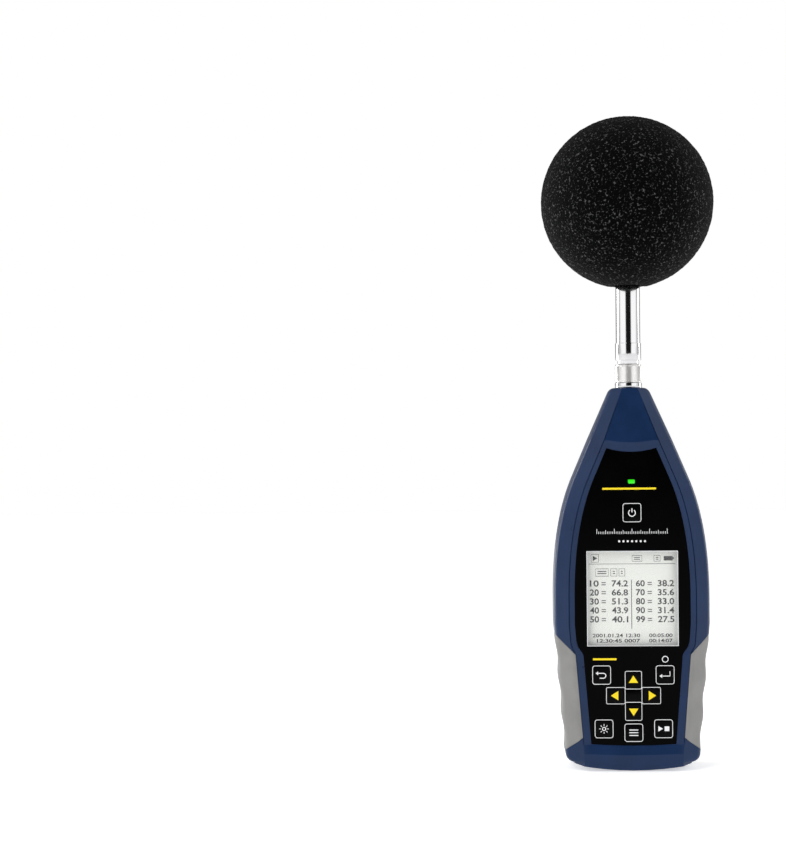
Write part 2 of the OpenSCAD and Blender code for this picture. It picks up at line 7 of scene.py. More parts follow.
# %% Load the frame
import json
import math

import bmesh
import bpy
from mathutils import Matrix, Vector

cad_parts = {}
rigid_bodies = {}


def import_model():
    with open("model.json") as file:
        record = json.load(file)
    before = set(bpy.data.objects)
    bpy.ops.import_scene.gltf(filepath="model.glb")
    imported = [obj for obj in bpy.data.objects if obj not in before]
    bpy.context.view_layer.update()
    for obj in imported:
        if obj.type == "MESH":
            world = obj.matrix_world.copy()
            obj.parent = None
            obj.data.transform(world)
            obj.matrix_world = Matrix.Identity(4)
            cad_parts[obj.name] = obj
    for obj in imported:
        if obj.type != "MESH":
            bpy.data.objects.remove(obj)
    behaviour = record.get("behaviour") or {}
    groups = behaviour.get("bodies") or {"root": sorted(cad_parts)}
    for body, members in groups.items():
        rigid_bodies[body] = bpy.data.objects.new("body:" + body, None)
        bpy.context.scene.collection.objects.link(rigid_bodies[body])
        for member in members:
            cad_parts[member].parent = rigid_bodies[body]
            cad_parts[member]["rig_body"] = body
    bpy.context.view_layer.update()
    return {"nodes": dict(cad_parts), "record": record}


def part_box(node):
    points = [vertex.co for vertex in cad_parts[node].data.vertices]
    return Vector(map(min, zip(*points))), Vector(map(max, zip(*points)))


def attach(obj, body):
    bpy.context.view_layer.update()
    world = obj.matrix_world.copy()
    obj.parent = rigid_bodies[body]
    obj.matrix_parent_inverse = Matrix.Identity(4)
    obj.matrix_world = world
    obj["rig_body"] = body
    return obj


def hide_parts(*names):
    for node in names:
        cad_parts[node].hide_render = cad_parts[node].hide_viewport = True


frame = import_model()
nodes = frame["nodes"]
bodies_of = {n: o["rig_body"] for n, o in nodes.items()}
print(len(nodes), "pieces in the frame")

# %% [markdown]
# The driving sizes come from the frame's own boxes, so a change of the engineering model carries
# through. Work is in millimetres inside the helpers, and every mesh is written in metres.

# %% Driving sizes
MM = 0.001


def box_mm(node):
    low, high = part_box(node)
    return low / MM, high / MM


case_low, case_high = box_mm("front_shell")
H = case_high.z
HW = case_high.x
F = -case_low.y
NOSE = 9.85  # half-width and half-depth of the flat nose
FOOT = 34.0  # half-width at the foot
FOOT_ARC = 155.0  # radius of the foot's curve
NOSE_RUN = 27.0  # height over which the front leans back to the nose
Z_PANEL_LOW, Z_PANEL_TOP = 13.5, H - 31  # the recess for the front film
Z_BEVEL_LOW, Z_BEVEL_TOP = 8.5, H - NOSE_RUN  # where its sloping rims meet the case
Y_PANEL = -F + 1.0
CHAMFER, REAR_CHAMFER, REAR_BAND = 5.5, 5.0, 5.5
WALL = 2.0
print("case", round(2 * HW, 1), "x", round(2 * F, 1), "x", round(H, 1), "mm")

# %% [markdown]
# ## Small tools
# An operator acts on whatever is selected, so each helper starts by clearing the selection. A
# mesh from points is merged and has its faces turned outwards before anything else is done to it.

# %% Helpers for meshes


def only_none():
    for other in bpy.context.selected_objects:
        other.select_set(False)


def only(obj):
    """Select one object alone and make it the active one."""
    only_none()
    obj.select_set(True)
    bpy.context.view_layer.objects.active = obj
    return obj


def mesh_object(name, points, faces):
    """A mesh from points in millimetres."""
    mesh = bpy.data.meshes.new(name)
    mesh.from_pydata([Vector(p) * MM for p in points], [], faces)
    obj = bpy.data.objects.new(name, mesh)
    bpy.context.scene.collection.objects.link(obj)
    return obj


def tidy(obj, gap=0.002):
    """Merge doubled points and turn every face outwards."""
    only(obj)
    bpy.ops.object.mode_set(mode="EDIT")
    bpy.ops.mesh.select_all(action="SELECT")
    bpy.ops.mesh.remove_doubles(threshold=gap * MM)
    bpy.ops.mesh.dissolve_degenerate(threshold=gap * MM)
    bpy.ops.mesh.normals_make_consistent(inside=False)
    bpy.ops.object.mode_set(mode="OBJECT")
    return obj


# %% [markdown]
# Modifiers finish most pieces. Each is applied at once, so that the next step works on the real
# mesh. The boolean uses the manifold solver, which is quick and leaves a closed body closed.

# %% Helpers for modifiers


def apply_modifier(obj, kind, **settings):
    only(obj)
    modifier = obj.modifiers.new(kind.title(), kind)
    for key, value in settings.items():
        setattr(modifier, key, value)
    bpy.ops.object.modifier_apply(modifier=modifier.name)
    return obj


def bevel(obj, width, segments=3, angle=30):
    return apply_modifier(obj, "BEVEL", width=width * MM, segments=segments, limit_method="ANGLE",
                          angle_limit=math.radians(angle), harden_normals=False,
                          miter_outer="MITER_ARC", use_clamp_overlap=True)


def smooth(obj, angle=32):
    only(obj)
    bpy.ops.object.shade_smooth_by_angle(angle=math.radians(angle))
    return obj


def carve(obj, cutter, how="DIFFERENCE"):
    """Boolean with a cutter that is thrown away afterwards."""
    apply_modifier(obj, "BOOLEAN", object=cutter, operation=how, solver="MANIFOLD")
    bpy.data.objects.remove(cutter)
    return obj


# %% [markdown]
# Cutters and small parts start from a cube or a cylinder at its size and place. A finished piece
# has its place in its mesh, so that a pattern on Object coordinates stays where it is.

# %% Helpers for simple solids


def place(obj):
    """Write an object's place, turn and size into its mesh."""
    only(obj)
    bpy.ops.object.transform_apply(location=True, rotation=True, scale=True)
    return obj


def block(name, low, high, radius=0.0, segments=4):
    """A box between two corners in millimetres; its edges along Y may be rounded."""
    centre = [(a + b) / 2 * MM for a, b in zip(low, high)]
    only_none()
    bpy.ops.mesh.primitive_cube_add(size=1, location=centre)
    obj = bpy.context.active_object
    obj.name = name
    obj.scale = [(b - a) * MM for a, b in zip(low, high)]
    place(obj)
    if radius:
        bpy.ops.object.mode_set(mode="EDIT")
        bpy.ops.mesh.select_all(action="DESELECT")
        shape = bmesh.from_edit_mesh(obj.data)
        for edge in shape.edges:
            run = edge.verts[0].co - edge.verts[1].co
            edge.select = abs(run.y) > max(abs(run.x), abs(run.z))
        bmesh.update_edit_mesh(obj.data)
        bpy.ops.mesh.bevel(offset=radius * MM, segments=segments)
        bpy.ops.object.mode_set(mode="OBJECT")
    return obj


def rod(name, x, z, y0, y1, radius, sides=32):
    """A cylinder that lies along Y, in millimetres."""
    only_none()
    bpy.ops.mesh.primitive_cylinder_add(vertices=sides, radius=radius * MM, depth=(y1 - y0) * MM,
                                        location=(x * MM, (y0 + y1) / 2 * MM, z * MM),
                                        rotation=(math.pi / 2, 0, 0))
    obj = bpy.context.active_object
    obj.name = name
    return place(obj)


def upright_rod(name, x, y, z, reach, radius, sides):
    """A cylinder that stands along Z, with its middle at x, y, z, in millimetres."""
    obj = rod(name, 0, 0, -reach, reach, radius, sides)
    obj.rotation_euler = (math.pi / 2, 0, 0)
    place(obj)
    obj.location = (x * MM, y * MM, z * MM)
    return place(obj)


# %% [markdown]
# Every finished piece rides on one body of the frame, takes its finish and, where it stands
# for a plain node, hides that node.

# %% Helpers for joining and handing over


def join(name, parts):
    only_none()
    for part in parts:
        part.select_set(True)
    bpy.context.view_layer.objects.active = parts[0]
    if len(parts) > 1:
        bpy.ops.object.join()
    parts[0].name = name
    return parts[0]


def piece(obj, body, slot, material, *replaced):
    """Give a finished piece its body, finish and the frame nodes it stands for."""
    obj.data.materials.clear()
    obj.data.materials.append(material)
    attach(obj, body)
    if replaced:
        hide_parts(*replaced)
    return obj


# %% [markdown]
# ## Finishes
# Every finish is a node tree on Object coordinates: a soft noise moves the colour and the gloss a
# little, and a finer one makes the grain of the surface. Values that are the same all over stay
# on the shader's own sockets, because an export reads them there.

# %% Helpers for materials


def tone(color, factor):
    return [min(1.0, c * factor) for c in color[:3]] + [1.0]


def finish(name, color, rough, metal=0.0, vary=0.12, patch=90.0, grain=2200.0, relief=0.12,
           depth=0.00006, gloss=0.5, coat=0.0, rough_vary=0.06, stretch=(1, 1, 1)):
    mat = bpy.data.materials.new(name)
    mat.use_nodes = True
    tree = mat.node_tree
    shader = tree.nodes["Principled BSDF"]
    place_node = tree.nodes.new("ShaderNodeTexCoord")
    turn = tree.nodes.new("ShaderNodeMapping")
    turn.inputs["Scale"].default_value = stretch
    tree.links.new(place_node.outputs["Object"], turn.inputs["Vector"])
    cloud = tree.nodes.new("ShaderNodeTexNoise")
    cloud.inputs["Scale"].default_value = patch
    cloud.inputs["Detail"].default_value = 5.0
    ramp = tree.nodes.new("ShaderNodeValToRGB")
    ramp.color_ramp.elements[0].position = 0.3
    ramp.color_ramp.elements[0].color = tone(color, 1 - vary)
    ramp.color_ramp.elements[1].position = 0.7
    ramp.color_ramp.elements[1].color = tone(color, 1 + vary)
    dull = tree.nodes.new("ShaderNodeMapRange")
    dull.inputs["To Min"].default_value = max(0.02, rough - rough_vary)
    dull.inputs["To Max"].default_value = rough + rough_vary
    fine = tree.nodes.new("ShaderNodeTexNoise")
    fine.inputs["Scale"].default_value = grain
    fine.inputs["Detail"].default_value = 3.0
    bump = tree.nodes.new("ShaderNodeBump")
    bump.inputs["Strength"].default_value = relief
    bump.inputs["Distance"].default_value = depth
    for noise in (cloud, fine):
        tree.links.new(turn.outputs["Vector"], noise.inputs["Vector"])
    tree.links.new(cloud.outputs["Fac"], ramp.inputs["Fac"])
    tree.links.new(ramp.outputs["Color"], shader.inputs["Base Color"])
    tree.links.new(cloud.outputs["Fac"], dull.inputs["Value"])
    tree.links.new(dull.outputs["Result"], shader.inputs["Roughness"])
    tree.links.new(fine.outputs["Fac"], bump.inputs["Height"])
    tree.links.new(bump.outputs["Normal"], shader.inputs["Normal"])
    shader.inputs["Metallic"].default_value = metal
    shader.inputs["Specular IOR Level"].default_value = gloss
    shader.inputs["Coat Weight"].default_value = coat
    shader.inputs["Coat Roughness"].default_value = 0.12
    return mat


# %% [markdown]
# The case is satin navy plastic, the grips are warm grey rubber and the front is a printed black
# film with hardly any gloss. The tube and its knurled nut are plated metal.

# %% The palette
navy = finish("navy case plastic", (0.0068, 0.0240, 0.078), 0.30, vary=0.10, gloss=0.22, relief=0.10)
grip_grey = finish("grey grip rubber", (0.245, 0.243, 0.237), 0.66, vary=0.07, grain=3200,
                   relief=0.35, gloss=0.35)
film_black = finish("black front film", (0.0006, 0.0006, 0.0008), 0.15, vary=0.25, gloss=0.03,
                    relief=0.05)
key_black = finish("black key plastic", (0.0008, 0.0008, 0.0010), 0.24, vary=0.25, gloss=0.05, relief=0.08)
print_white = finish("white print", (0.86, 0.87, 0.88), 0.5, vary=0.02, relief=0.02, gloss=0.2)
print_yellow = finish("yellow print", (1.0, 0.74, 0.02), 0.5, vary=0.02, relief=0.02, gloss=0.2)
plated = finish("bright plated metal", (0.68, 0.68, 0.69), 0.11, metal=1.0, vary=0.03, patch=40,
                grain=5000, relief=0.03, rough_vary=0.03, stretch=(1, 1, 0.08))
nut_metal = finish("knurled plating", (0.74, 0.73, 0.72), 0.30, metal=0.9, vary=0.05, relief=0.05)
steel = finish("plain steel", (0.55, 0.55, 0.56), 0.33, metal=1.0, vary=0.08, relief=0.05)
brass = finish("turned brass", (0.72, 0.53, 0.22), 0.28, metal=1.0, vary=0.08, relief=0.05)
board_green = finish("green board lacquer", (0.012, 0.110, 0.045), 0.36, vary=0.25, patch=300)
plastic_black = finish("black moulded plastic", (0.012, 0.012, 0.013), 0.45, vary=0.2, relief=0.2)
seal_black = finish("black seal rubber", (0.010, 0.010, 0.010), 0.75, vary=0.2)
white_plastic = finish("white insulator", (0.78, 0.78, 0.75), 0.42, vary=0.04)
cell_metal = finish("cell sleeve", (0.35, 0.36, 0.38), 0.30, metal=0.8, vary=0.08)
display_grey = finish("display glass", (0.86, 0.87, 0.82), 0.45, vary=0.02, patch=30, relief=0.01)
display_ink = finish("display figures", (0.010, 0.011, 0.012), 0.5, vary=0.1, relief=0.01, gloss=0.2)
lens_green = finish("green light lens", (0.02, 0.55, 0.005), 0.25, vary=0.05, patch=400, relief=0.02)
lens_shader = lens_green.node_tree.nodes["Principled BSDF"]
lens_shader.inputs["Emission Color"].default_value = (0.03, 0.85, 0.01, 1)
lens_shader.inputs["Emission Strength"].default_value = 0.45
window_clear = finish("clear window", (0.9, 0.92, 0.93), 0.06, vary=0.01, relief=0.0, rough_vary=0.02)
window_clear.node_tree.nodes["Principled BSDF"].inputs["Alpha"].default_value = 0.06
print(len(bpy.data.materials), "plain finishes")

# %% [markdown]
# Open-cell foam is a net of thin struts round deep pores. A cell pattern gives the net, and its
# edges stand up as a bump. Its colour is painted light and shade: the strut edges are painted
# lighter as a painted highlight, and the pores nearly black as painted shade in their depths. A
# fine noise multiplies the pattern and breaks up its regularity.

# %% Foam


def foam_material():
    mat = bpy.data.materials.new("black open-cell foam")
    mat.use_nodes = True
    tree = mat.node_tree
    shader = tree.nodes["Principled BSDF"]
    where = tree.nodes.new("ShaderNodeTexCoord")
    cells = tree.nodes.new("ShaderNodeTexVoronoi")
    cells.inputs["Scale"].default_value = 900.0
    cells.inputs["Randomness"].default_value = 1.0
    speck = tree.nodes.new("ShaderNodeTexNoise")
    speck.inputs["Scale"].default_value = 1600.0
    speck.inputs["Detail"].default_value = 4.0
    mix = tree.nodes.new("ShaderNodeMath")
    mix.operation = "MULTIPLY"
    # painted light: this ramp paints the cell edges lighter as a painted highlight and the pores near black
    # as painted shade
    ramp = tree.nodes.new("ShaderNodeValToRGB")
    stops = ramp.color_ramp
    stops.elements[0].position = 0.20
    stops.elements[0].color = (0.0004, 0.0004, 0.0005, 1)
    stops.elements[1].position = 0.54
    stops.elements[1].color = (0.105, 0.105, 0.107, 1)
    middle = stops.elements.new(0.36)
    middle.color = (0.0016, 0.0016, 0.0018, 1)
    bump = tree.nodes.new("ShaderNodeBump")
    bump.inputs["Strength"].default_value = 0.9
    bump.inputs["Distance"].default_value = 0.0006
    for noise in (cells, speck):
        tree.links.new(where.outputs["Object"], noise.inputs["Vector"])
    tree.links.new(cells.outputs["Distance"], mix.inputs[0])
    tree.links.new(speck.outputs["Fac"], mix.inputs[1])
    tree.links.new(mix.outputs[0], ramp.inputs["Fac"])
    tree.links.new(ramp.outputs["Color"], shader.inputs["Base Color"])
    tree.links.new(mix.outputs[0], bump.inputs["Height"])
    tree.links.new(bump.outputs["Normal"], shader.inputs["Normal"])
    shader.inputs["Roughness"].default_value = 0.85
    shader.inputs["Specular IOR Level"].default_value = 0.04
    shader.inputs["Sheen Weight"].default_value = 0.02
    shader.inputs["Sheen Roughness"].default_value = 0.5
    return mat


foam = foam_material()
print("foam finish with", len(foam.node_tree.nodes), "nodes")

# %% [markdown]
# ## Camera
# The camera stands a little to the meter's left, level with the upper part of the case. It is
# turned so that the meter stands in the right half of the render, with white beside it.

# %% Camera
CAMERA_DISTANCE = 1.10
CAMERA_AZIMUTH = math.radians(-4.0)
CAMERA_TURN = math.radians(2.41)
CAMERA_ROLL = math.radians(0.5)
CAMERA_HEIGHT = 0.1806
camera_data = bpy.data.cameras.new("camera")
camera_data.lens = 89.8
camera = bpy.data.objects.new("camera", camera_data)
bpy.context.scene.collection.objects.link(camera)
camera.location = (CAMERA_DISTANCE * math.sin(CAMERA_AZIMUTH),
                   -CAMERA_DISTANCE * math.cos(CAMERA_AZIMUTH), CAMERA_HEIGHT)
camera.rotation_mode = "XYZ"
camera.rotation_euler = (math.pi / 2, CAMERA_ROLL, CAMERA_TURN)
bpy.context.scene.camera = camera
print("camera", CAMERA_DISTANCE, "m away with a lens of", round(camera_data.lens, 1), "mm")

# %% [markdown]
# ## The case
# The case is one smooth body: a nose with three facets, long chamfers down each side, a recess for
# the front film and a gently curved foot. It could be carved from a cube, but the chamfers, the
# recess and the foot all change their width with height. So it is lofted: closed sections are
# drawn at many heights with the same columns, and every feature line runs along the mesh.

# %% The case's outline
SHOULDER_RUN = 46.5
Z_SHOULDER = H - SHOULDER_RUN
X_SHOULDER = HW - 10.3
SLOPE = (X_SHOULDER - NOSE) / SHOULDER_RUN
Z_WIDE, Z_TAPER = 88.0, 75.0
BULGE_RUN = (HW - X_SHOULDER) / SLOPE
BULGE_BEND = Z_SHOULDER - 2 * (Z_SHOULDER - BULGE_RUN) + Z_WIDE
TOP_ROUND, FOOT_ROUND, FOOT_START = 2.4, 4.0, 3.6
GRIP_KNEE = 65.0
print("shoulder at", round(Z_SHOULDER, 1), "mm, widest from", Z_WIDE, "down to", Z_TAPER, "mm")


# %% [markdown]
# Each function gives one feature line of the case at a height z: the bare outline, the outline with
# its rounded ends, the depth, the chamfer's start and the edges of the film and of its rim.

# %% Lines of the case


def clamp(value):
    return max(0.0, min(1.0, value))


def ease(value):
    c = clamp(value)
    return c * c * (3 - 2 * c)


def line_width(z):
    """Half-width of the case at height z, before its corners are rounded."""
    if z >= Z_SHOULDER:
        return NOSE + (H - z) * SLOPE
    if z >= Z_WIDE:
        t = (BULGE_RUN - math.sqrt(BULGE_RUN ** 2 - BULGE_BEND * (Z_SHOULDER - z))) / BULGE_BEND
        return HW - (HW - X_SHOULDER) * (1 - t) ** 2
    if z >= Z_TAPER:
        return HW
    return FOOT + z * (HW - FOOT) / Z_TAPER


def rounding(radius, u):
    return radius * (1 - math.sqrt(max(0.0, 1 - u * u)))


def width(z):
    """Half-width of the case at height z, with its rounded top and foot."""
    top, foot = H - TOP_ROUND, FOOT_START + FOOT_ROUND
    if z >= top:
        return line_width(top) - rounding(TOP_ROUND, (z - top) / TOP_ROUND) + (top - z) * SLOPE
    if z < FOOT_START:
        return line_width(FOOT_START) - FOOT_ROUND
    if z < foot:
        return line_width(z) - rounding(FOOT_ROUND, (foot - z) / FOOT_ROUND)
    return line_width(z)


def half_depth(z):
    return F - (F - NOSE) * clamp((z - (H - NOSE_RUN)) / NOSE_RUN)


def facet(z):
    """Half-width of the front facet, where the long chamfer starts."""
    return line_width(z) - 6.3 - 1.1 * clamp((H - z) / NOSE_RUN)


def side(z, above, below):
    """A line down the front, so far in from the side above the grips and so far in below."""
    return line_width(z) - above - (below - above) * ease((GRIP_KNEE - z) / 6)


def panel_edge(z):
    return side(z, 10.3, 13.3)


def bevel_edge(z):
    return side(z, 7.7, 9.6)


print("widest", round(2 * width(80.0), 1), "mm, at the nose", round(2 * width(H - 3), 1), "mm")

# %% [markdown]
# One section is a run of points from the middle of the front, round the side, to the middle of the
# back. The corners between the facets are rounded by a short curve of three to five points.

# %% Sections of the case
FLOOR = -F + 1.52
GROOVE = 0.5
CORNER = 2.0


def curve(p0, p1, p2, steps):
    """Points of a quadratic curve that rounds the corner p1."""
    run = []
    for k in range(steps):
        t = k / (steps - 1)
        run.append(tuple((1 - t) ** 2 * a + 2 * t * (1 - t) * b + t * t * c
                         for a, b, c in zip(p0, p1, p2)))
    return run


def side_run(z, w, d):
    """The long chamfer's outer corner, the side and the rear corners."""
    g = line_width(z) - facet(z)
    slope = CHAMFER / g
    y = -d + (g - CORNER) * slope
    y1 = -d + CHAMFER
    rear = REAR_CHAMFER / REAR_BAND
    run = curve((w - CORNER, y), (w, y1), (w, y1 + CORNER), 5)
    run += curve((w, d - REAR_CHAMFER - CORNER), (w, d - REAR_CHAMFER),
                 (w - CORNER, d - REAR_CHAMFER + CORNER * rear), 5)
    band = w - REAR_BAND
    run += curve((band + 1.1, d - 1.1 * rear), (band, d), (band - 1.3, d), 3)
    return run


def section(z, kind, trim=0.0):
    """Points (x, y) of the right half; kind says if the front is outside the recess or in it."""
    w, d = width(z), half_depth(z) - trim
    if z > Z_BEVEL_TOP:
        shrink = facet(z) / facet(Z_BEVEL_TOP)
        p, b = panel_edge(Z_BEVEL_TOP) * shrink, bevel_edge(Z_BEVEL_TOP) * shrink
    elif z < Z_BEVEL_LOW:
        shrink = line_width(z) / line_width(Z_BEVEL_LOW)
        p, b = panel_edge(Z_BEVEL_LOW) * shrink, bevel_edge(Z_BEVEL_LOW) * shrink
    else:
        p, b = panel_edge(z), bevel_edge(z)
    inner = {"out": -d, "edge": Y_PANEL, "in": FLOOR}[kind]
    rim = -d if kind == "out" else Y_PANEL
    lean = clamp((z - Z_BEVEL_LOW) / (Z_PANEL_LOW - Z_BEVEL_LOW)) if z < 100 else \
        clamp((Z_BEVEL_TOP - z) / (Z_BEVEL_TOP - Z_PANEL_TOP))
    if kind == "out":
        inner = rim = -d + lean * (Y_PANEL + F)
    lip = 0.22
    dip = GROOVE * ease((z - 12) / 6) * ease((H - 6 - z) / 6)
    first = [(0, inner), (0.35 * p, inner), (0.7 * p, inner), (p, inner), (p, rim)]
    first += [(b, -d), (b + lip, -d + dip), (b + 2 * lip, -d + 0.02)]
    back = [(b, d), (p, d), (0.7 * p, d), (0.35 * p, d), (0, d)]
    return first + side_run(z, w, d) + back


# %% [markdown]
# Between two rows, the recess steps in or its rim slopes, so rows are close together there and far
# apart where nothing changes. The rims of the recess hang in a shallow arc.

# %% Rows of the case
# lowest and highest height of each rim, and how far its middle hangs at those heights
SAGS = [(Z_BEVEL_LOW - 0.4, Z_PANEL_LOW + 0.3, 0.5, 0.8),
        (Z_PANEL_TOP - 0.3, Z_BEVEL_TOP + 0.4, 2.0, 1.0)]


def sag(z, x, limit):
    """The curved top and bottom edges of the recess."""
    u = 1 - min(1.0, (x / limit) ** 2)
    for low, high, first, last in SAGS:
        if low <= z <= high:
            return -u * (first + (last - first) * (z - low) / (high - low))
    return 0.0


rows = [(FOOT_START + k, "out") for k in (0, 0.15, 0.5, 1.1, 1.9, 2.9, FOOT_ROUND)]
rows += [(Z_BEVEL_LOW - 0.25, "out"), (Z_BEVEL_LOW, "out"), (Z_BEVEL_LOW + 0.25, "out")]
rows += [(Z_PANEL_LOW - 0.3, "out"), (Z_PANEL_LOW, "edge"), (Z_PANEL_LOW, "in")]
rows += [(z, "in") for z in (18, 24, 30, 36, 42, 48, 54, 57, 59, 60.5, 62, 63.5, 65, 67, 71, 75, 80)]
rows += [(Z_WIDE + 4 * i, "in") for i in range(int((Z_PANEL_TOP - 6 - Z_WIDE) / 4) + 1)]
rows += [(Z_PANEL_TOP, "in"), (Z_PANEL_TOP, "edge"), (Z_PANEL_TOP + 0.3, "out")]
rows += [(Z_BEVEL_TOP - 0.3, "out"), (Z_BEVEL_TOP, "out"), (Z_BEVEL_TOP + 0.3, "out")]
rows += [(H - k, "out") for k in (26.0, 22, 17, 12, 7, TOP_ROUND, 1.6, 0.9)]
print(len(rows), "rows between the foot and the nose")

# %% [markdown]
# The rows are joined into a tube. The foot is part of a large circle, the nose ends in a flat top,
# and both ends are closed with strips that run from the front to the back.

# %% Build the closed case body


def loft(name, rings):
    """A closed body from rings of equal length, each starting at the middle of the front."""
    n, half = len(rings[0]), len(rings[0]) // 2 + 1
    points = [p for ring in rings for p in ring]
    faces = []
    for k in range(len(rings) - 1):
        for i in range(n):
            j = (i + 1) % n
            faces.append((k * n + i, k * n + j, (k + 1) * n + j, (k + 1) * n + i))
    for base, low in ((0, True), ((len(rings) - 1) * n, False)):
        for i in range((half - 1) // 2):
            strip = [i, i + 1, half - 2 - i, half - 1 - i]
            mirror = [(n - k) % n for k in reversed(strip)]
            for quad in (strip, mirror):
                quad = [base + k for k in quad]
                faces.append(list(reversed(quad)) if low else quad)
    return tidy(mesh_object(name, points, faces))


def ring_of(right, height):
    """A full ring from its right half; height gives z for each point's number and place."""
    left = [(-x, y) for x, y in reversed(right[1:-1])]
    numbers = list(range(len(right))) + list(range(len(right) - 2, 0, -1))
    return [(x, y, height(i, abs(x))) for i, (x, y) in zip(numbers, right + left)]


def foot_ring(trim, lift):
    return ring_of(section(FOOT_START, "out", trim), lambda i, x: x * x / (2 * FOOT_ARC) + lift)


rings = [foot_ring(0.6, 0.0), foot_ring(0.28, 0.08), foot_ring(0.08, 0.28), foot_ring(0.0, 0.55)]
for z, kind in rows:
    limit = section(z, kind)[4][0]
    rings.append(ring_of(section(z, kind),
                         lambda i, x, z=z, limit=limit: z + (sag(z, x, limit) if i < 5 else 0)))
for drop, trim in ((0.6, 0.0), (0.3, 0.08), (0.1, 0.25), (0.0, 0.6)):
    rings.append(ring_of(section(H - drop, "out", trim), lambda i, x, z=H - drop: z))
case = loft("case", rings)
print("case body", len(case.data.polygons), "faces")


# %% [markdown]
# A smaller body of the same kind is taken out of the case, which leaves its walls. A Solidify
# modifier would be shorter, but it folds over itself at the sharp corners of the recess. The walls
# are thicker beside the grips, which need room for their own recesses.

# %% Hollow the case


CAVITY_FLOOR, GRIP_ROOM, CAVITY_FRONT = 8, 1.9, 14.3


def hollow_ring(z):
    inset = GRIP_ROOM * ease((66 - z) / 8)
    w, d = width(max(z, CAVITY_FLOOR)) - WALL - inset, half_depth(z)
    front = min(CAVITY_FRONT, d - WALL)
    right = [(0, -front), (0.5 * w, -front), (facet(z) - 1.5 - inset, -front),
             (w, -d + CHAMFER + 1.2), (w, d - REAR_CHAMFER - 1.2), (w - REAR_BAND, d - WALL),
             (0.5 * w, d - WALL), (0, d - WALL)]
    return ring_of(right, lambda i, x: z if z > CAVITY_FLOOR else x * x / (2 * FOOT_ARC) + WALL + 0.6)


hollow_rows = (6, 9, 30, 58, 60, 62, 64, 66, 75, 88, 100, 115, 130, 140, 150, H - NOSE_RUN, H - 12, H - 2.8)
carve(case, loft("cavity", [hollow_ring(z) for z in hollow_rows]))
print("hollow case", len(case.data.polygons), "faces")

# %% [markdown]
# ## The rubber grips
# A grip is a slab of soft rubber that wraps the chamfer, the side and the rear corner, with slanted
# ends and finger waves down its side. It can't be a simple box, because it follows the case. One
# path round the side, repeated at many heights, gives a grid of points. Two such grids, one inside
# the other, bound the grip, and two more bound the recess that it sits in.

# %% Path of a grip


def grip_path(z, offset):
    """The run round the side that a grip covers, from the front to the back, moved outwards."""
    w = width(z)
    side_points = side_run(z, w, F)
    g = facet(z)
    corners = [(w - 9.3, -F), (w - 8.4, -F), (g - 0.5, -F), (g + 0.5, -F + 0.4)]
    corners += [(g + (w - CORNER - g) * k / 3, -F + (side_points[0][1] + F) * k / 3) for k in (1, 2)]
    y0, y1 = side_points[4][1], side_points[5][1]
    corners += side_points[:5] + [(w, y0 + (y1 - y0) * k / 5) for k in (1, 2, 3, 4)]
    corners += side_points[5:10]
    end = (w - 5.3, F - 0.18)
    last = corners[-1]
    corners += [(last[0] + (end[0] - last[0]) * k / 3, last[1] + (end[1] - last[1]) * k / 3)
                for k in (1, 2, 3)]
    moved = []
    for i, (x, y) in enumerate(corners):
        before, after = corners[max(0, i - 1)], corners[min(len(corners) - 1, i + 1)]
        along = Vector((after[0] - before[0], after[1] - before[1])).normalized()
        moved.append((x + along.y * offset, y - along.x * offset))
    return corners, moved


print(len(grip_path(40.0, 0)[0]), "points round a grip")

# %% [markdown]
# The upper end of a grip rises towards the side and the lower end falls towards it. The height of
# each point depends on its place across and the other way round, so a few rounds settle both.

# %% Grid of a grip
GRIP_ROWS, SETTLE = 44, 8
Z_GRIP_TOP, Z_GRIP_FOOT, TOP_LEAN, FOOT_LEAN = 59.5, 16.8, 0.98, 0.778
WAVE_DEPTH, WAVE_TURN, WAVE_CREST = 0.42, 18.5, 46.5


def grip_top(x):
    return Z_GRIP_TOP + TOP_LEAN * (x - HW + 10.7)


def grip_foot(x):
    return Z_GRIP_FOOT - FOOT_LEAN * (x - line_width(Z_GRIP_FOOT) + 9.3)


def wave(z):
    """The finger waves down the outer side of a grip."""
    return WAVE_DEPTH * (math.cos(math.radians(WAVE_TURN * (z - WAVE_CREST))) - 1)


def grip_grid(offset, gap, waves):
    grid = []
    count = len(grip_path(40, 0)[0])
    for j in range(GRIP_ROWS + 1):
        t = j / GRIP_ROWS
        row = []
        for i in range(count):
            z = 40.0
            for _ in range(SETTLE):
                x = grip_path(z, 0)[0][i][0]
                z = (grip_foot(x) + gap) * (1 - t) + (grip_top(x) - gap) * t
            turn = ease(i / 5) * ease((count - 1 - i) / 4)
            push = offset + (wave(z) * turn if waves else 0)
            x, y = grip_path(z, push)[1][i]
            row.append((x, y, z))
        grid.append(row)
    return grid


print("grip from", round(grip_foot(HW), 1), "to", round(grip_top(HW), 1), "mm at the side")

# %% [markdown]
# Two grids of the same size are joined round their rim into one closed solid.

# %% Solid between two grids


def slab_between(name, outer, inner):
    """A closed solid between two grids of the same size."""
    rows_n, cols_n = len(outer), len(outer[0])
    points = [p for row in outer for p in row] + [p for row in inner for p in row]
    shift = rows_n * cols_n
    faces = []
    for j in range(rows_n - 1):
        for i in range(cols_n - 1):
            a, b = j * cols_n + i, j * cols_n + i + 1
            c, d = b + cols_n, a + cols_n
            faces.append((a, b, c, d))
            faces.append((a + shift, d + shift, c + shift, b + shift))
    rim = [i for i in range(cols_n)] + [j * cols_n + cols_n - 1 for j in range(1, rows_n)]
    rim += [(rows_n - 1) * cols_n + i for i in range(cols_n - 2, -1, -1)]
    rim += [j * cols_n for j in range(rows_n - 2, 0, -1)]
    for a, b in zip(rim, rim[1:] + rim[:1]):
        faces.append((a, a + shift, b + shift, b))
    return tidy(mesh_object(name, points, faces))


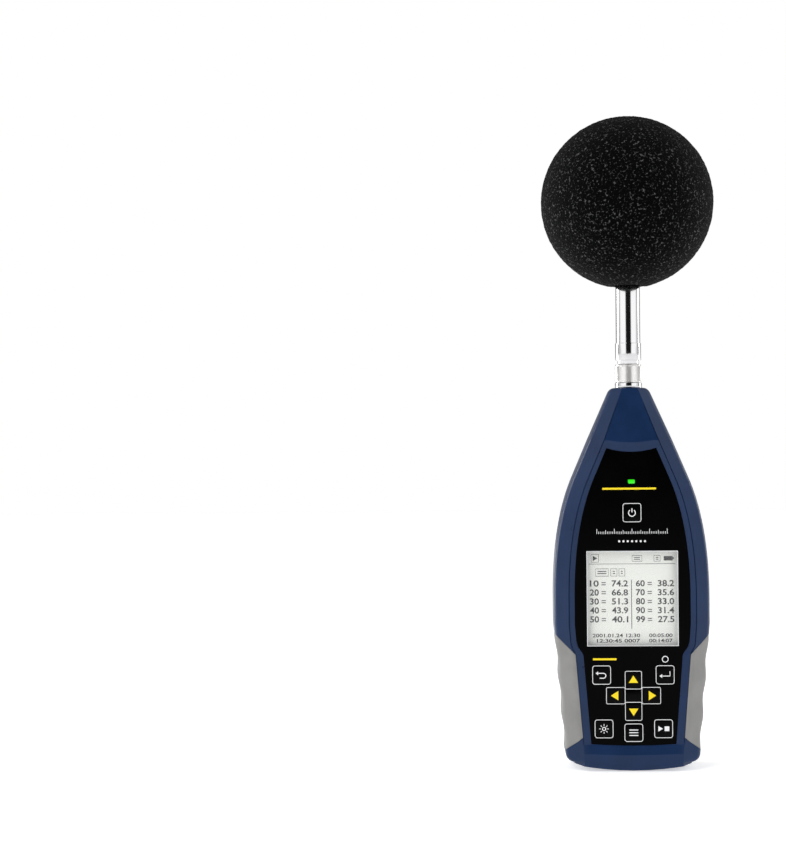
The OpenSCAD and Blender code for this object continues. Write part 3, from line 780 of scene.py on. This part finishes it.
def mirrored(obj, name):
    copy = obj.copy()
    copy.data = obj.data.copy()
    copy.name = name
    bpy.context.scene.collection.objects.link(copy)
    copy.scale = (-1, 1, 1)
    place(copy)
    return tidy(copy)


# %% [markdown]
# The right grip is made first. Its mirror image is the left one, and its normals are turned
# outwards again, because mirroring turns them in. The recess is a hair deeper than the grip.

# %% Make the grips
GRIP_DEPTH, GRIP_PROUD, GRIP_GAP = 1.75, 0.05, 0.18
right_grip = slab_between("right_rubber_grip", grip_grid(GRIP_PROUD, GRIP_GAP, True),
                          grip_grid(-GRIP_DEPTH, GRIP_GAP, False))
right_recess = slab_between("recess", grip_grid(2.0, 0.0, False),
                            grip_grid(-GRIP_DEPTH - 0.03, 0.0, False))
left_recess = mirrored(right_recess, "recess_left")
bevel(right_grip, 0.45, 3, 40)
smooth(right_grip, 40)
left_grip = mirrored(right_grip, "left_rubber_grip")
smooth(left_grip, 40)
piece(right_grip, "meter", "grip_rubber", grip_grey, "right_grip")
piece(left_grip, "meter", "grip_rubber", grip_grey, "left_grip")
print("grips", len(right_grip.data.polygons), "faces each")

# %% [markdown]
# ## The two halves
# The hollow case gets its grip recesses and the bore for the microphone socket. It is then cut into
# a front and a rear half with a hair's gap between them, where the dark seal shows.

# %% Cut the halves
carve(case, right_recess)
carve(case, left_recess)
carve(case, upright_rod("bore", 0, 0, H - 3, 6, 5.6, 48))

rear_case = case.copy()
rear_case.data = case.data.copy()
bpy.context.scene.collection.objects.link(rear_case)
front_case = case
SEAM = 0.09
carve(front_case, block("cut", (-60, -SEAM, -5), (60, 40, H + 5)))
carve(rear_case, block("cut", (-60, -40, -5), (60, SEAM, H + 5)))
print("halves", len(front_case.data.polygons), "and", len(rear_case.data.polygons), "faces")

# %% [markdown]
# The front half has an opening for each key, the display, the light and the blank hub between the
# arrow keys, and openings in its foot for the sockets and the memory card. Their places come from
# the boxes of the pieces that they serve, so simple blocks and rods cut them all.

# %% Openings in the front half
KEY_CLEAR, KEY_CORNER, WINDOW_LAP = 0.3, 1.4, 1.7
CUT_BACK = -10
key_nodes = [n for n in nodes if n.startswith("key_")]
for node in key_nodes:
    low, high = box_mm(node)
    carve(front_case, block("cut", (low.x - KEY_CLEAR, -F, low.z - KEY_CLEAR),
                            (high.x + KEY_CLEAR, CUT_BACK, high.z + KEY_CLEAR), KEY_CORNER))
window_low, window_high = box_mm("lcd_window")
carve(front_case, block("cut", (window_low.x + WINDOW_LAP, -F, window_low.z + WINDOW_LAP),
                        (window_high.x - WINDOW_LAP, CUT_BACK, window_high.z - WINDOW_LAP)))
for half_wide, low_z, high_z in ((2.1, 146.8, 149.6), (6.2, 33.4, 43.6)):
    carve(front_case, block("cut", (-half_wide, -F, low_z), (half_wide, CUT_BACK, high_z)))

for node, grow in (("usb_socket", 0.35), ("memory_card", 0.4)):
    low, high = box_mm(node)
    carve(front_case, block("cut", (low.x - grow, low.y - grow, -3), (high.x + grow, high.y + grow, 9)))
for node, radius, behind_front in (("output_jack", 2.95, 3.25), ("dc_jack", 3.5, 3.6)):
    low, high = box_mm(node)
    carve(front_case, upright_rod("cut", (low.x + high.x) / 2, low.y + behind_front, 0, 6, radius, 40))
print("front half", len(front_case.data.polygons), "faces")

# %% [markdown]
# The rear half has the battery bay, with a shallow seat round it that the cover lies in and two
# notches for the cover's tabs, six round recesses for the screw heads, and the hole for the
# tripod bush.

# %% Openings in the rear half
cover_low, cover_high = box_mm("battery_cover")
cover_top, COVER_CLEAR, SEAT_DEPTH = 77.4, 0.2, 1.5
carve(rear_case, block("cut", (cover_low.x - COVER_CLEAR, F - SEAT_DEPTH, cover_low.z - COVER_CLEAR),
                       (cover_high.x + COVER_CLEAR, F + 5, cover_top + COVER_CLEAR)))
carve(rear_case, block("cut", (cover_low.x + 0.4, 6, cover_low.z + 1.9),
                       (cover_high.x - 0.4, F + 5, cover_top - 1.9)))
for x in (-15, 15):
    carve(rear_case, block("cut", (x - 4, F - 3.7, cover_top - 2.2),
                           (x + 4, F - 1.4, cover_top + COVER_CLEAR)))
for x, z in ((25, 9.5), (31, 88), (16, H - 38.5)):
    for mirror_x in (-x, x):
        carve(rear_case, rod("cut", mirror_x, z, F - 2.6, F + 3, 2.9, 40))
BUSH_Z, BUSH_HOLE = 105, 5.05
carve(rear_case, rod("cut", 0, BUSH_Z, 5, F + 3, BUSH_HOLE, 64))
print("rear half", len(rear_case.data.polygons), "faces")

# %% [markdown]
# Both halves are shaded smooth up to their sharp corners. Weighted normals keep the large facets
# flat where small rounded corners meet them.

# %% Finish the halves
for half, name, node in ((front_case, "front_case", "front_shell"), (rear_case, "rear_case", "rear_shell")):
    half.name = name
    smooth(half, 34)
    apply_modifier(half, "WEIGHTED_NORMAL", keep_sharp=True, weight=90)
    piece(half, "meter", "case_blue", navy, node)
    print(name, len(half.data.polygons), "faces")

# %% [markdown]
# ## Softened copies
# Keys, the battery cover and other small moulded pieces already have the right shape, but their
# edges are razor sharp. A copy of each is merged and bevelled, and stands for the plain one.

# %% Softened copies of small pieces


def softened(node, width_mm, slot, material, segments=2, angle=35):
    source = nodes[node]
    obj = source.copy()
    obj.data = source.data.copy()
    for key in list(obj.keys()):
        del obj[key]
    obj.parent = None
    obj.name = node + "_soft"
    bpy.context.scene.collection.objects.link(obj)
    tidy(obj, 0.004)
    only(obj)
    bpy.ops.object.mode_set(mode="EDIT")
    bpy.ops.mesh.select_all(action="SELECT")
    bpy.ops.mesh.dissolve_limited(angle_limit=math.radians(1.0))
    bpy.ops.object.mode_set(mode="OBJECT")
    bevel(obj, width_mm, segments, angle)
    smooth(obj, 35)
    return piece(obj, bodies_of[node], slot, material, node)


for node in key_nodes:
    softened(node, 0.3, "key_black", key_black, 3)
softened("battery_cover", 0.25, "case_blue", navy)
softened("pad_hub", 0.2, "panel_black", key_black)
print(len(key_nodes) + 2, "softened pieces")

# %% [markdown]
# ## The foam ball
# The ball, its bore and the coupling nut are round, so they are turned: a profile of radii and
# heights becomes a stack of rings that are joined one to the next.

# %% Rings for turned pieces


def lathe_ring(radius, z, sides):
    return [(radius * math.cos(2 * math.pi * i / sides), radius * math.sin(2 * math.pi * i / sides), z)
            for i in range(sides)]


def turned(name, rings):
    """A closed turned body: each ring is joined to the next, and the last to the first."""
    count = len(rings[0])
    points = [p for r in rings for p in r]
    faces = []
    for k in range(len(rings)):
        nxt = (k + 1) % len(rings)
        for i in range(count):
            j = (i + 1) % count
            faces.append((k * count + i, k * count + j, nxt * count + j, nxt * count + i))
    return tidy(mesh_object(name, points, faces))


# %% [markdown]
# The ball is a fine sphere of firm moulded foam with a rounded mouth and a blind bore for the
# microphone. It keeps its own shape, so it needs no cloth. A noise moves its skin in and out by a
# few tenths of a millimetre, which gives open-cell foam its soft, broken outline.

# %% Foam ball
SKIN, BORE_CLEAR, MOUTH = 0.35, 0.4, 10.5
tube_r = 6.35
ball_low, ball_high = box_mm("windscreen")
ball_r = (ball_high.x - ball_low.x) / 2
ball_z = ball_high.z - ball_r
skin_r = ball_r - SKIN
bore_r, bore_top = tube_r + BORE_CLEAR, ball_z + 8
mouth_z = ball_z - math.sqrt(skin_r ** 2 - MOUTH ** 2)
profile = [(0, bore_top), (bore_r - 0.5, bore_top), (bore_r, bore_top - 0.5)]
BORE_STEPS, SKIN_STEPS = 24, 100
bore_run = bore_top - 1 - mouth_z - 6
profile += [(bore_r, bore_top - 1 - bore_run * k / BORE_STEPS) for k in range(BORE_STEPS + 1)]
profile += curve((bore_r, mouth_z + 5.5), (bore_r, mouth_z - 0.6), (MOUTH, mouth_z), 7)
start = math.degrees(math.asin(MOUTH / skin_r)) + 1.5
for k in range(SKIN_STEPS + 1):
    t = math.radians(start + (180 - start) * k / SKIN_STEPS)
    profile.append((skin_r * math.sin(t), ball_z - skin_r * math.cos(t)))
ball = turned("foam_ball", [lathe_ring(r, z, 192) for r, z in profile])
fuzz = bpy.data.textures.new("foam cells", "CLOUDS")
fuzz.noise_scale = 1.1 * MM
fuzz.noise_depth = 2
group = ball.vertex_groups.new(name="skin")
centre = Vector((0, 0, ball_z)) * MM
outer = [v.index for v in ball.data.vertices if (v.co - centre).length > (skin_r - 2.2) * MM]
group.add(outer, 1.0, "REPLACE")
apply_modifier(ball, "DISPLACE", texture=fuzz, texture_coords="LOCAL", strength=0.7 * MM,
               mid_level=0.5, vertex_group="skin")
smooth(ball, 60)
piece(ball, "screen", "foam_black", foam, "windscreen")
print("foam ball", round(2 * ball_r, 1), "mm across,", len(ball.data.polygons), "faces")

# %% [markdown]
# ## Turned metal
# The coupling nut has a diamond knurl: rings of alternating radius, each shifted by one point.
# Its plain collars above and below are rings of constant radius. The tube, the microphone and its
# socket only need softened edges.

# %% Coupling nut
nut_low, nut_high = box_mm("coupling_nut")
nut_r, nut_bore = nut_high.x, 5.3
COLLAR, TEETH, TOOTH, KNURL_ROWS = 0.8, 64, 0.28, 18


def ring(radius, z, tooth=0.0, shift=0):
    """A ring whose every second point is set in by one tooth."""
    points = []
    for i in range(2 * TEETH):
        turn, r = math.pi * i / TEETH, radius - tooth * ((i + shift) % 2)
        points.append((r * math.cos(turn), r * math.sin(turn), z))
    return points


def collar(end, inwards):
    """The rings of one plain collar, from the bore's edge to the knurl; inwards is 1 or -1 along Z."""
    steps = ((nut_bore, 0.0), (nut_r - 0.55, 0.0), (nut_r - 0.3, 0.25), (nut_r - 0.3, COLLAR - 0.1),
             (nut_r - 0.2, COLLAR))
    return [ring(r, end + inwards * rise) for r, rise in steps]


knurl_low = nut_low.z + COLLAR + 0.15
knurl_run = nut_high.z - nut_low.z - 2 * COLLAR - 0.3
knurl = [ring(nut_r, knurl_low + knurl_run * k / KNURL_ROWS, TOOTH, k) for k in range(KNURL_ROWS + 1)]
nut = turned("knurled_nut", collar(nut_low.z, 1) + knurl + collar(nut_high.z, -1)[::-1])
smooth(nut, 12)
piece(nut, "nut", "bright_metal", nut_metal, "coupling_nut")
print("nut", len(nut.data.polygons), "faces")

# %% [markdown]
# The tube and the microphone's pieces keep the frame's shape with softened edges and bright
# plating. The status light is a small rounded block of green plastic that glows.

# %% Tube, microphone and light
for node in ("preamp_tube", "mic_socket", "mic_body", "mic_grid"):
    softened(node, 0.12, "bright_metal", plated, 2, 30)
lens_low, lens_high = box_mm("led_lens")
LENS_HALF, LENS_Z = 1.65, (147.2, 149.2)
lens = block("light_lens", (-LENS_HALF, lens_low.y, LENS_Z[0]), (LENS_HALF, lens_high.y, LENS_Z[1]), 0.5)
bevel(lens, 0.2, 2, 40)
smooth(lens, 40)
piece(lens, "meter", "lens_green", lens_green, "led_lens")
print("light lens", len(lens.data.polygons), "faces")

# %% [markdown]
# ## Printed marks
# The marks on the film and the keys are thin layers of paint. They could be painted in a material,
# but then their edges would blur, so they are real pieces. Two tools draw them all: a plate fills
# an outline, and a ribbon follows a path with a constant width. Each is drawn flat, given a little
# thickness and sunk partly into the surface that it is printed on.

# %% Helpers for printed marks
PAINT = 0.05


def thicken(obj, thick):
    only(obj)
    bpy.ops.object.mode_set(mode="EDIT")
    bpy.ops.mesh.select_all(action="SELECT")
    bpy.ops.mesh.extrude_region_move(TRANSFORM_OT_translate={"value": (0, thick * MM, 0)})
    bpy.ops.mesh.select_all(action="SELECT")
    bpy.ops.mesh.normals_make_consistent(inside=False)
    bpy.ops.object.mode_set(mode="OBJECT")
    return obj


def plate(name, outline, y, thick=PAINT):
    points = [(x, y, z) for x, z in outline]
    return thicken(mesh_object(name, points, [tuple(range(len(points)))]), thick)


def ribbon(name, path, wide, y, closed=False, thick=PAINT):
    count = len(path)
    inner, outer = [], []
    for i, (x, z) in enumerate(path):
        before = path[i - 1] if closed or i else path[0]
        after = path[(i + 1) % count] if closed or i < count - 1 else path[-1]
        along = Vector((after[0] - before[0], after[1] - before[1])).normalized()
        inner.append((x - along.y * wide / 2, y, z + along.x * wide / 2))
        outer.append((x + along.y * wide / 2, y, z - along.x * wide / 2))
    last = count if closed else count - 1
    faces = [(i, (i + 1) % count, count + (i + 1) % count, count + i) for i in range(last)]
    return thicken(mesh_object(name, inner + outer, faces), thick)


def rounded(x0, x1, z0, z1, r, steps=5):
    path = []
    corners = ((x1 - r, z1 - r, 0), (x0 + r, z1 - r, 90), (x0 + r, z0 + r, 180), (x1 - r, z0 + r, 270))
    for cx, cz, turn in corners:
        for k in range(steps + 1):
            t = math.radians(turn + 90 * k / steps)
            path.append((cx + r * math.cos(t), cz + r * math.sin(t)))
    return path


def arc(x, z, r, start, end, steps=24):
    turns = [math.radians(start + (end - start) * k / steps) for k in range(steps + 1)]
    return [(x + r * math.cos(t), z + r * math.sin(t)) for t in turns]


def bar(x0, x1, z0, z1, y):
    return plate("bar", [(x0, z0), (x1, z0), (x1, z1), (x0, z1)], y)


# %% [markdown]
# Each key has a thin white frame and one plain sign: a power ring, a back arrow, an enter arrow, a
# sun, three bars, and the play and stop signs. The four arrow keys carry solid yellow triangles.

# %% Key frames and signs


def sign(kind, x, z, y):
    """The parts of one key's sign, drawn round the key's middle."""
    if kind == "power":
        return [ribbon("ring", arc(x, z - 0.1, 1.75, 128, 412), 0.45, y),
                ribbon("stem", [(x, z + 2.2), (x, z + 0.2)], 0.5, y)]
    if kind == "escape":
        bend = arc(x + 0.9, z - 0.35, 1.25, 90, -90, 12)
        loop = [(x - 1.9, z + 0.9), (x + 0.9, z + 0.9)] + bend + [(x - 1.0, z - 1.6)]
        return [ribbon("loop", loop, 0.45, y),
                plate("head", [(x - 3.1, z + 0.9), (x - 1.8, z - 0.1), (x - 1.8, z + 1.9)], y)]
    if kind == "enter":
        return [ribbon("stem", [(x + 2.5, z + 1.8), (x + 2.5, z - 0.6), (x - 1.6, z - 0.6)], 0.45, y),
                plate("head", [(x - 2.9, z - 0.6), (x - 1.5, z - 1.6), (x - 1.5, z + 0.4)], y)]
    if kind == "light":
        rays = [ribbon("ray", [(x + 1.55 * math.cos(t), z + 1.55 * math.sin(t)),
                               (x + 2.45 * math.cos(t), z + 2.45 * math.sin(t))], 0.32, y)
                for t in [math.pi / 4 * k for k in range(8)]]
        return [ribbon("disc", arc(x, z, 0.85, 0, 345, 23), 0.4, y, True)] + rays
    if kind == "menu":
        return [bar(x - 2.3, x + 2.3, z + k - 0.24, z + k + 0.24, y) for k in (-1.4, 0, 1.4)]
    if kind == "start_stop":
        return [plate("play", [(x - 2.7, z - 1.4), (x - 0.3, z), (x - 2.7, z + 1.4)], y),
                bar(x + 0.5, x + 2.9, z - 1.2, z + 1.2, y)]
    return []


# %% [markdown]
# The marks are drawn for each key in turn, and ride on that key's own body, so they go down with it
# when it is pressed.

# %% Draw the key marks
ARROWS = {"up": 90, "left": 180, "right": 0, "down": 270}
PRINT_LIFT = 0.02
TIP, BASE, HALF_BASE = 2.1, 1.7, 2.4


def yellow(obj, body):
    obj.data.materials.append(print_yellow)
    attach(obj, body)


def key_frame(name, low, high, inset, radius, wide, y):
    path = rounded(low.x + inset, high.x - inset, low.z + inset, high.z - inset, radius)
    return ribbon(name, path, wide, y, True)


for node in key_nodes:
    kind, body = node[4:], bodies_of[node]
    low, high = box_mm(node)
    y = low.y - PRINT_LIFT
    x, z = (low.x + high.x) / 2, (low.z + high.z) / 2
    if kind in ARROWS:
        ax, az = math.cos(math.radians(ARROWS[kind])), math.sin(math.radians(ARROWS[kind]))
        cx, cz = x + 0.4 * ax, z + 0.3 * az
        tips = [(cx + TIP * ax, cz + TIP * az),
                (cx - BASE * ax - HALF_BASE * az, cz - BASE * az + HALF_BASE * ax),
                (cx - BASE * ax + HALF_BASE * az, cz - BASE * az - HALF_BASE * ax)]
        yellow(plate(kind + "_arrow", tips, y), body)
        edge = key_frame(kind + "_frame", low, high, 0.5, 0.7, 0.27, y)
        piece(edge, body, "white_plastic", print_white)
    else:
        parts = [key_frame("frame", low, high, 0.85, 1.2, 0.30, y)] + sign(kind, x, z, y)
        piece(join(kind + "_print", parts), body, "white_plastic", print_white)
print(len(key_nodes), "keys printed")

# %% [markdown]
# The front film carries a yellow rule over the power key, a fine scale and a row of dots under it,
# and a small yellow dash and a ring under the display. They stand in for a real meter's lettering.

# %% Marks on the front film
film_y = box_mm("front_panel")[0].y - PRINT_LIFT
RULE_Z, SCALE_Z, DOTS_Z, DASH_Z = 144.6, 121.4, 117.6, 57.1
TICK_STEP, TICK_HALF = 0.9, 0.13
yellow(ribbon("yellow_rule", [(-15, RULE_Z), (12.5, RULE_Z)], 1.0, film_y), "meter")
dash = bar(-20.5, -8.5, DASH_Z - 0.5, DASH_Z + 0.5, film_y)
dash.name = "yellow_dash"
yellow(dash, "meter")
ticks = []
for k in range(-20, 21):
    tall = 2.6 if k % 10 == 0 else 1.9 if k % 5 == 0 else 1.2
    tick_x = k * TICK_STEP
    ticks.append(bar(tick_x - TICK_HALF, tick_x + TICK_HALF, SCALE_Z, SCALE_Z + tall, film_y))
for k in range(-3, 4):
    ticks.append(plate("dot", arc(k * 2.2, DOTS_Z, 0.55, 0, 345, 15), film_y))
ticks.append(ribbon("round", arc(16.4, DASH_Z - 0.1, 1.5, 0, 345, 23), 0.4, film_y, True))
marks = piece(join("film_marks", ticks), "meter", "white_plastic", print_white)
print("film marks", len(marks.data.polygons), "faces")

# %% [markdown]
# ## The display
# The glass shows a header with small signs, ten readings in two columns, and two lines of small
# figures at the foot. Figures are text objects that become thin meshes before they are placed.

# %% The display's figures
GLASS_LIFT = 0.03  # how far the figures stand in front of the glass
glass_y = box_mm("lcd_glass")[0].y - GLASS_LIFT
x0, x1 = window_low.x + 2.0, window_high.x - 2.0
z1 = window_high.z - 1.9


def figures(text, left, right, top, base):
    """Numbers that fill a box, measured from the display's upper left corner."""
    only_none()
    bpy.ops.object.text_add()
    obj = bpy.context.active_object
    obj.data.body = text
    obj.data.resolution_u = 3
    obj.data.offset = 0.022
    bpy.ops.object.convert(target="MESH")
    obj = bpy.context.active_object
    low = [min(v.co[i] for v in obj.data.vertices) for i in (0, 1)]
    high = [max(v.co[i] for v in obj.data.vertices) for i in (0, 1)]
    for v in obj.data.vertices:
        across = left + (right - left) * (v.co.x - low[0]) / (high[0] - low[0])
        down = base - (base - top) * (v.co.y - low[1]) / (high[1] - low[1])
        v.co = Vector((x0 + across, glass_y, z1 - down)) * MM
    return thicken(obj, 0.04)


def rule_at(left, right, top, base):
    return bar(x0 + left, x0 + right, z1 - base, z1 - top, glass_y)


def frame_at(left, right, top, base, wide=0.28):
    path = [(x0 + left, z1 - base), (x0 + right, z1 - base), (x0 + right, z1 - top), (x0 + left, z1 - top)]
    return ribbon("box", path, wide, glass_y, True, 0.04)


def two_lines(left, right, first, second, tall):
    """Two short lines, one under the other, as an equals sign or a stand-in for small text."""
    return [rule_at(left, right, top, top + tall) for top in (first, second)]


# %% [markdown]
# The layout is measured from the display's upper left corner, across and down. Each column of
# readings is a label, an equals sign and a value.

# %% Lay out the display
labels = ["10", "20", "30", "40", "50"], ["60", "70", "80", "90", "99"]
readings = ["74.2", "66.8", "51.3", "43.9", "40.1"], ["38.2", "35.6", "33.0", "31.4", "27.5"]
FIRST_BASE, LINE_STEP, FIGURE_TALL = 18.2, 4.62, 3.3
ink = []
for column, left in ((0, 1.4), (1, 25.0)):
    for row in range(5):
        base = FIRST_BASE + LINE_STEP * row
        top = base - FIGURE_TALL
        ink.append(figures(labels[column][row], left, left + 4.6, top, base))
        ink += two_lines(left + 6.0, left + 8.2, base - 1.2, base - 2.3, 0.45)
        ink.append(figures(readings[column][row], left + 11.2, left + 19.6, top, base))
ink += [rule_at(22.6, 22.95, 14.6, 40.0), rule_at(0.9, 45.2, 6.4, 6.65)]
play = [(x0 + 3.0, z1 - 5.0), (x0 + 5.4, z1 - 3.6), (x0 + 3.0, z1 - 2.2)]
ink += [frame_at(2.2, 6.0, 1.6, 5.6), plate("play", play, glass_y)]
for left, right in ((23.2, 28.2), (34.4, 37.6)):
    ink += [frame_at(left, right, 2.3, 5.2)] + two_lines(left + 0.9, right - 0.9, 3.1, 4.0, 0.4)
ink += [rule_at(39.4, 44.0, 2.6, 4.9), rule_at(44.0, 44.6, 3.3, 4.2)]
for left, right in ((4.4, 11.0), (12.2, 15.4), (16.4, 19.4)):
    ink += [frame_at(left, right, 9.0, 12.8)] + two_lines(left + 1.0, right - 1.0, 10.1, 11.2, 0.5)
for text, left, right, base in (("2001.01.24 12:30", 2.6, 27.0, 44.3), ("00:05:00", 31.6, 43.6, 44.3),
                                ("12:30:45 0007", 4.8, 27.0, 47.0), ("00:14:07", 31.6, 43.6, 47.0)):
    ink.append(figures(text, left, right, base - 1.9, base))
left, right, top, base = x0 - 0.15, x1 + 0.15, z1 + 0.15, z1 - 48.35
border = ribbon("display_border", [(left, base), (right, base), (right, top), (left, top)],
                0.5, film_y, True)
piece(border, "meter", "white_plastic", print_white)
drawn = piece(join("display_figures", ink), "meter", "black_plastic", display_ink)
print("display figures", len(drawn.data.polygons), "faces")
print("display", len(ink), "marks")

# %% [markdown]
# ## Finishes for the rest of the frame
# Every other frame node keeps its shape and takes the finish of its slot.

# %% Paint the frame's own pieces
slot_finish = {
    "case_blue": navy, "grip_rubber": grip_grey, "seal_rubber": seal_black, "panel_black": film_black,
    "clear_window": window_clear, "display_grey": display_grey, "white_plastic": white_plastic,
    "plain_steel": steel, "board_green": board_green, "black_plastic": plastic_black,
    "cell_metal": cell_metal, "lens_green": lens_green, "key_black": key_black,
    "bright_metal": plated, "brass": brass, "foam_black": foam,
}
for part in frame["record"]["subparts"]:
    obj = nodes[part["node"]]
    obj.data.materials.clear()
    obj.data.materials.append(slot_finish[part["material_slot"]])

# %% [markdown]
# ## Stage and light
# The meter stands on a plain white floor. The floor glows a little, so that it meets the white wall
# behind it without a line.

# %% The floor
FLOOR_DROP = 0.0004
only_none()
bpy.ops.mesh.primitive_plane_add(size=6, location=(0, 0, -FLOOR_DROP))
floor = bpy.context.active_object
floor.name = "floor"
place(floor)
floor_mat = finish("pale floor", (0.93, 0.93, 0.93), 0.7, vary=0.01, patch=3, relief=0.0)
floor_shader = floor_mat.node_tree.nodes["Principled BSDF"]
floor_shader.inputs["Emission Color"].default_value = (1, 1, 1, 1)
floor_shader.inputs["Emission Strength"].default_value = 0.52
floor.data.materials.append(floor_mat)
print("floor", [round(side, 2) for side in floor.dimensions], "m")

# %% [markdown]
# Round the meter is a white tent with one dark gap straight ahead. The gap keeps the film black and
# draws the dark stripe down the polished tube, and darker corners at the sides give the tube its
# outline. The tent is only what the surfaces mirror: the wall that is seen is plain white.

# %% The tent
world = bpy.data.worlds.new("studio")
bpy.context.scene.world = world
world.use_nodes = True
tree = world.node_tree
where = tree.nodes.new("ShaderNodeTexCoord")
split = tree.nodes.new("ShaderNodeSeparateXYZ")
tree.links.new(where.outputs["Generated"], split.inputs["Vector"])
sideways = tree.nodes.new("ShaderNodeMath")
sideways.operation = "ABSOLUTE"
tree.links.new(split.outputs["X"], sideways.inputs[0])


def tent(stops):
    """One wall of the tent: grey levels from straight ahead to straight sideways."""
    ramp = tree.nodes.new("ShaderNodeValToRGB")
    while len(ramp.color_ramp.elements) < len(stops):
        ramp.color_ramp.elements.new(0.5)
    for element, (position, level) in zip(ramp.color_ramp.elements, stops):
        element.position = position
        element.color = (level, level, level, 1)
    tree.links.new(sideways.outputs[0], ramp.inputs["Fac"])
    return ramp


# each stop is how far sideways, from 0 to 1, and how bright
ahead = tent([(0.0, 0.01), (0.34, 0.01), (0.46, 1.4), (0.90, 1.4), (0.95, 0.9), (1.0, 0.9)])
behind = tent([(0.0, 0.35), (0.40, 0.35), (0.80, 0.8), (0.93, 0.8), (0.97, 0.3), (1.0, 0.3)])
is_behind = tree.nodes.new("ShaderNodeMath")
is_behind.operation = "GREATER_THAN"
is_behind.inputs[1].default_value = 0.0
both = tree.nodes.new("ShaderNodeMix")
both.data_type = "RGBA"
tree.links.new(split.outputs["Y"], is_behind.inputs[0])
tree.links.new(is_behind.outputs[0], both.inputs["Factor"])
tree.links.new(ahead.outputs["Color"], both.inputs["A"])
tree.links.new(behind.outputs["Color"], both.inputs["B"])
tree.links.new(both.outputs["Result"], tree.nodes["Background"].inputs["Color"])
plain_wall = tree.nodes.new("ShaderNodeBackground")
plain_wall.inputs["Color"].default_value = (1, 1, 1, 1)
seen = tree.nodes.new("ShaderNodeLightPath")
wall = tree.nodes.new("ShaderNodeMixShader")
tree.links.new(seen.outputs["Is Camera Ray"], wall.inputs["Fac"])
tree.links.new(tree.nodes["Background"].outputs["Background"], wall.inputs[1])
tree.links.new(plain_wall.outputs["Background"], wall.inputs[2])
tree.links.new(wall.outputs["Shader"], tree.nodes["World Output"].inputs["Surface"])
print("tent walls of", len(ahead.color_ramp.elements), "and", len(behind.color_ramp.elements), "tones")
tree.nodes["Background"].inputs["Strength"].default_value = 1.0

# %% [markdown]
# Three soft lamps add to the tent. A broad one stands above and to the left. A tall strip on either
# side, a little behind the meter, draws a pale line down the edges of the case. The plain view
# transform keeps white white and the film black.

# %% Lamps


def area_light(name, where, aim, size, power, size_y=None):
    data = bpy.data.lights.new(name, "AREA")
    data.energy = power
    data.size = size
    if size_y:
        data.shape = "RECTANGLE"
        data.size_y = size_y
    obj = bpy.data.objects.new(name, data)
    bpy.context.scene.collection.objects.link(obj)
    obj.location = where
    obj.rotation_euler = (Vector(aim) - Vector(where)).to_track_quat("-Z", "Y").to_euler()
    return obj


AIM = (0, 0, 0.16)
STRIP_TALL = 0.7
area_light("key_soft", (-0.55, -0.75, 1.25), AIM, 0.5, 3.5)
area_light("left_strip", (-0.7, 0.35, 0.22), AIM, 0.20, 2.6, STRIP_TALL)
area_light("right_strip", (0.7, 0.35, 0.22), AIM, 0.14, 1.5, STRIP_TALL)
bpy.context.scene.view_settings.view_transform = "Standard"
print(len(bpy.data.lights), "lamps")
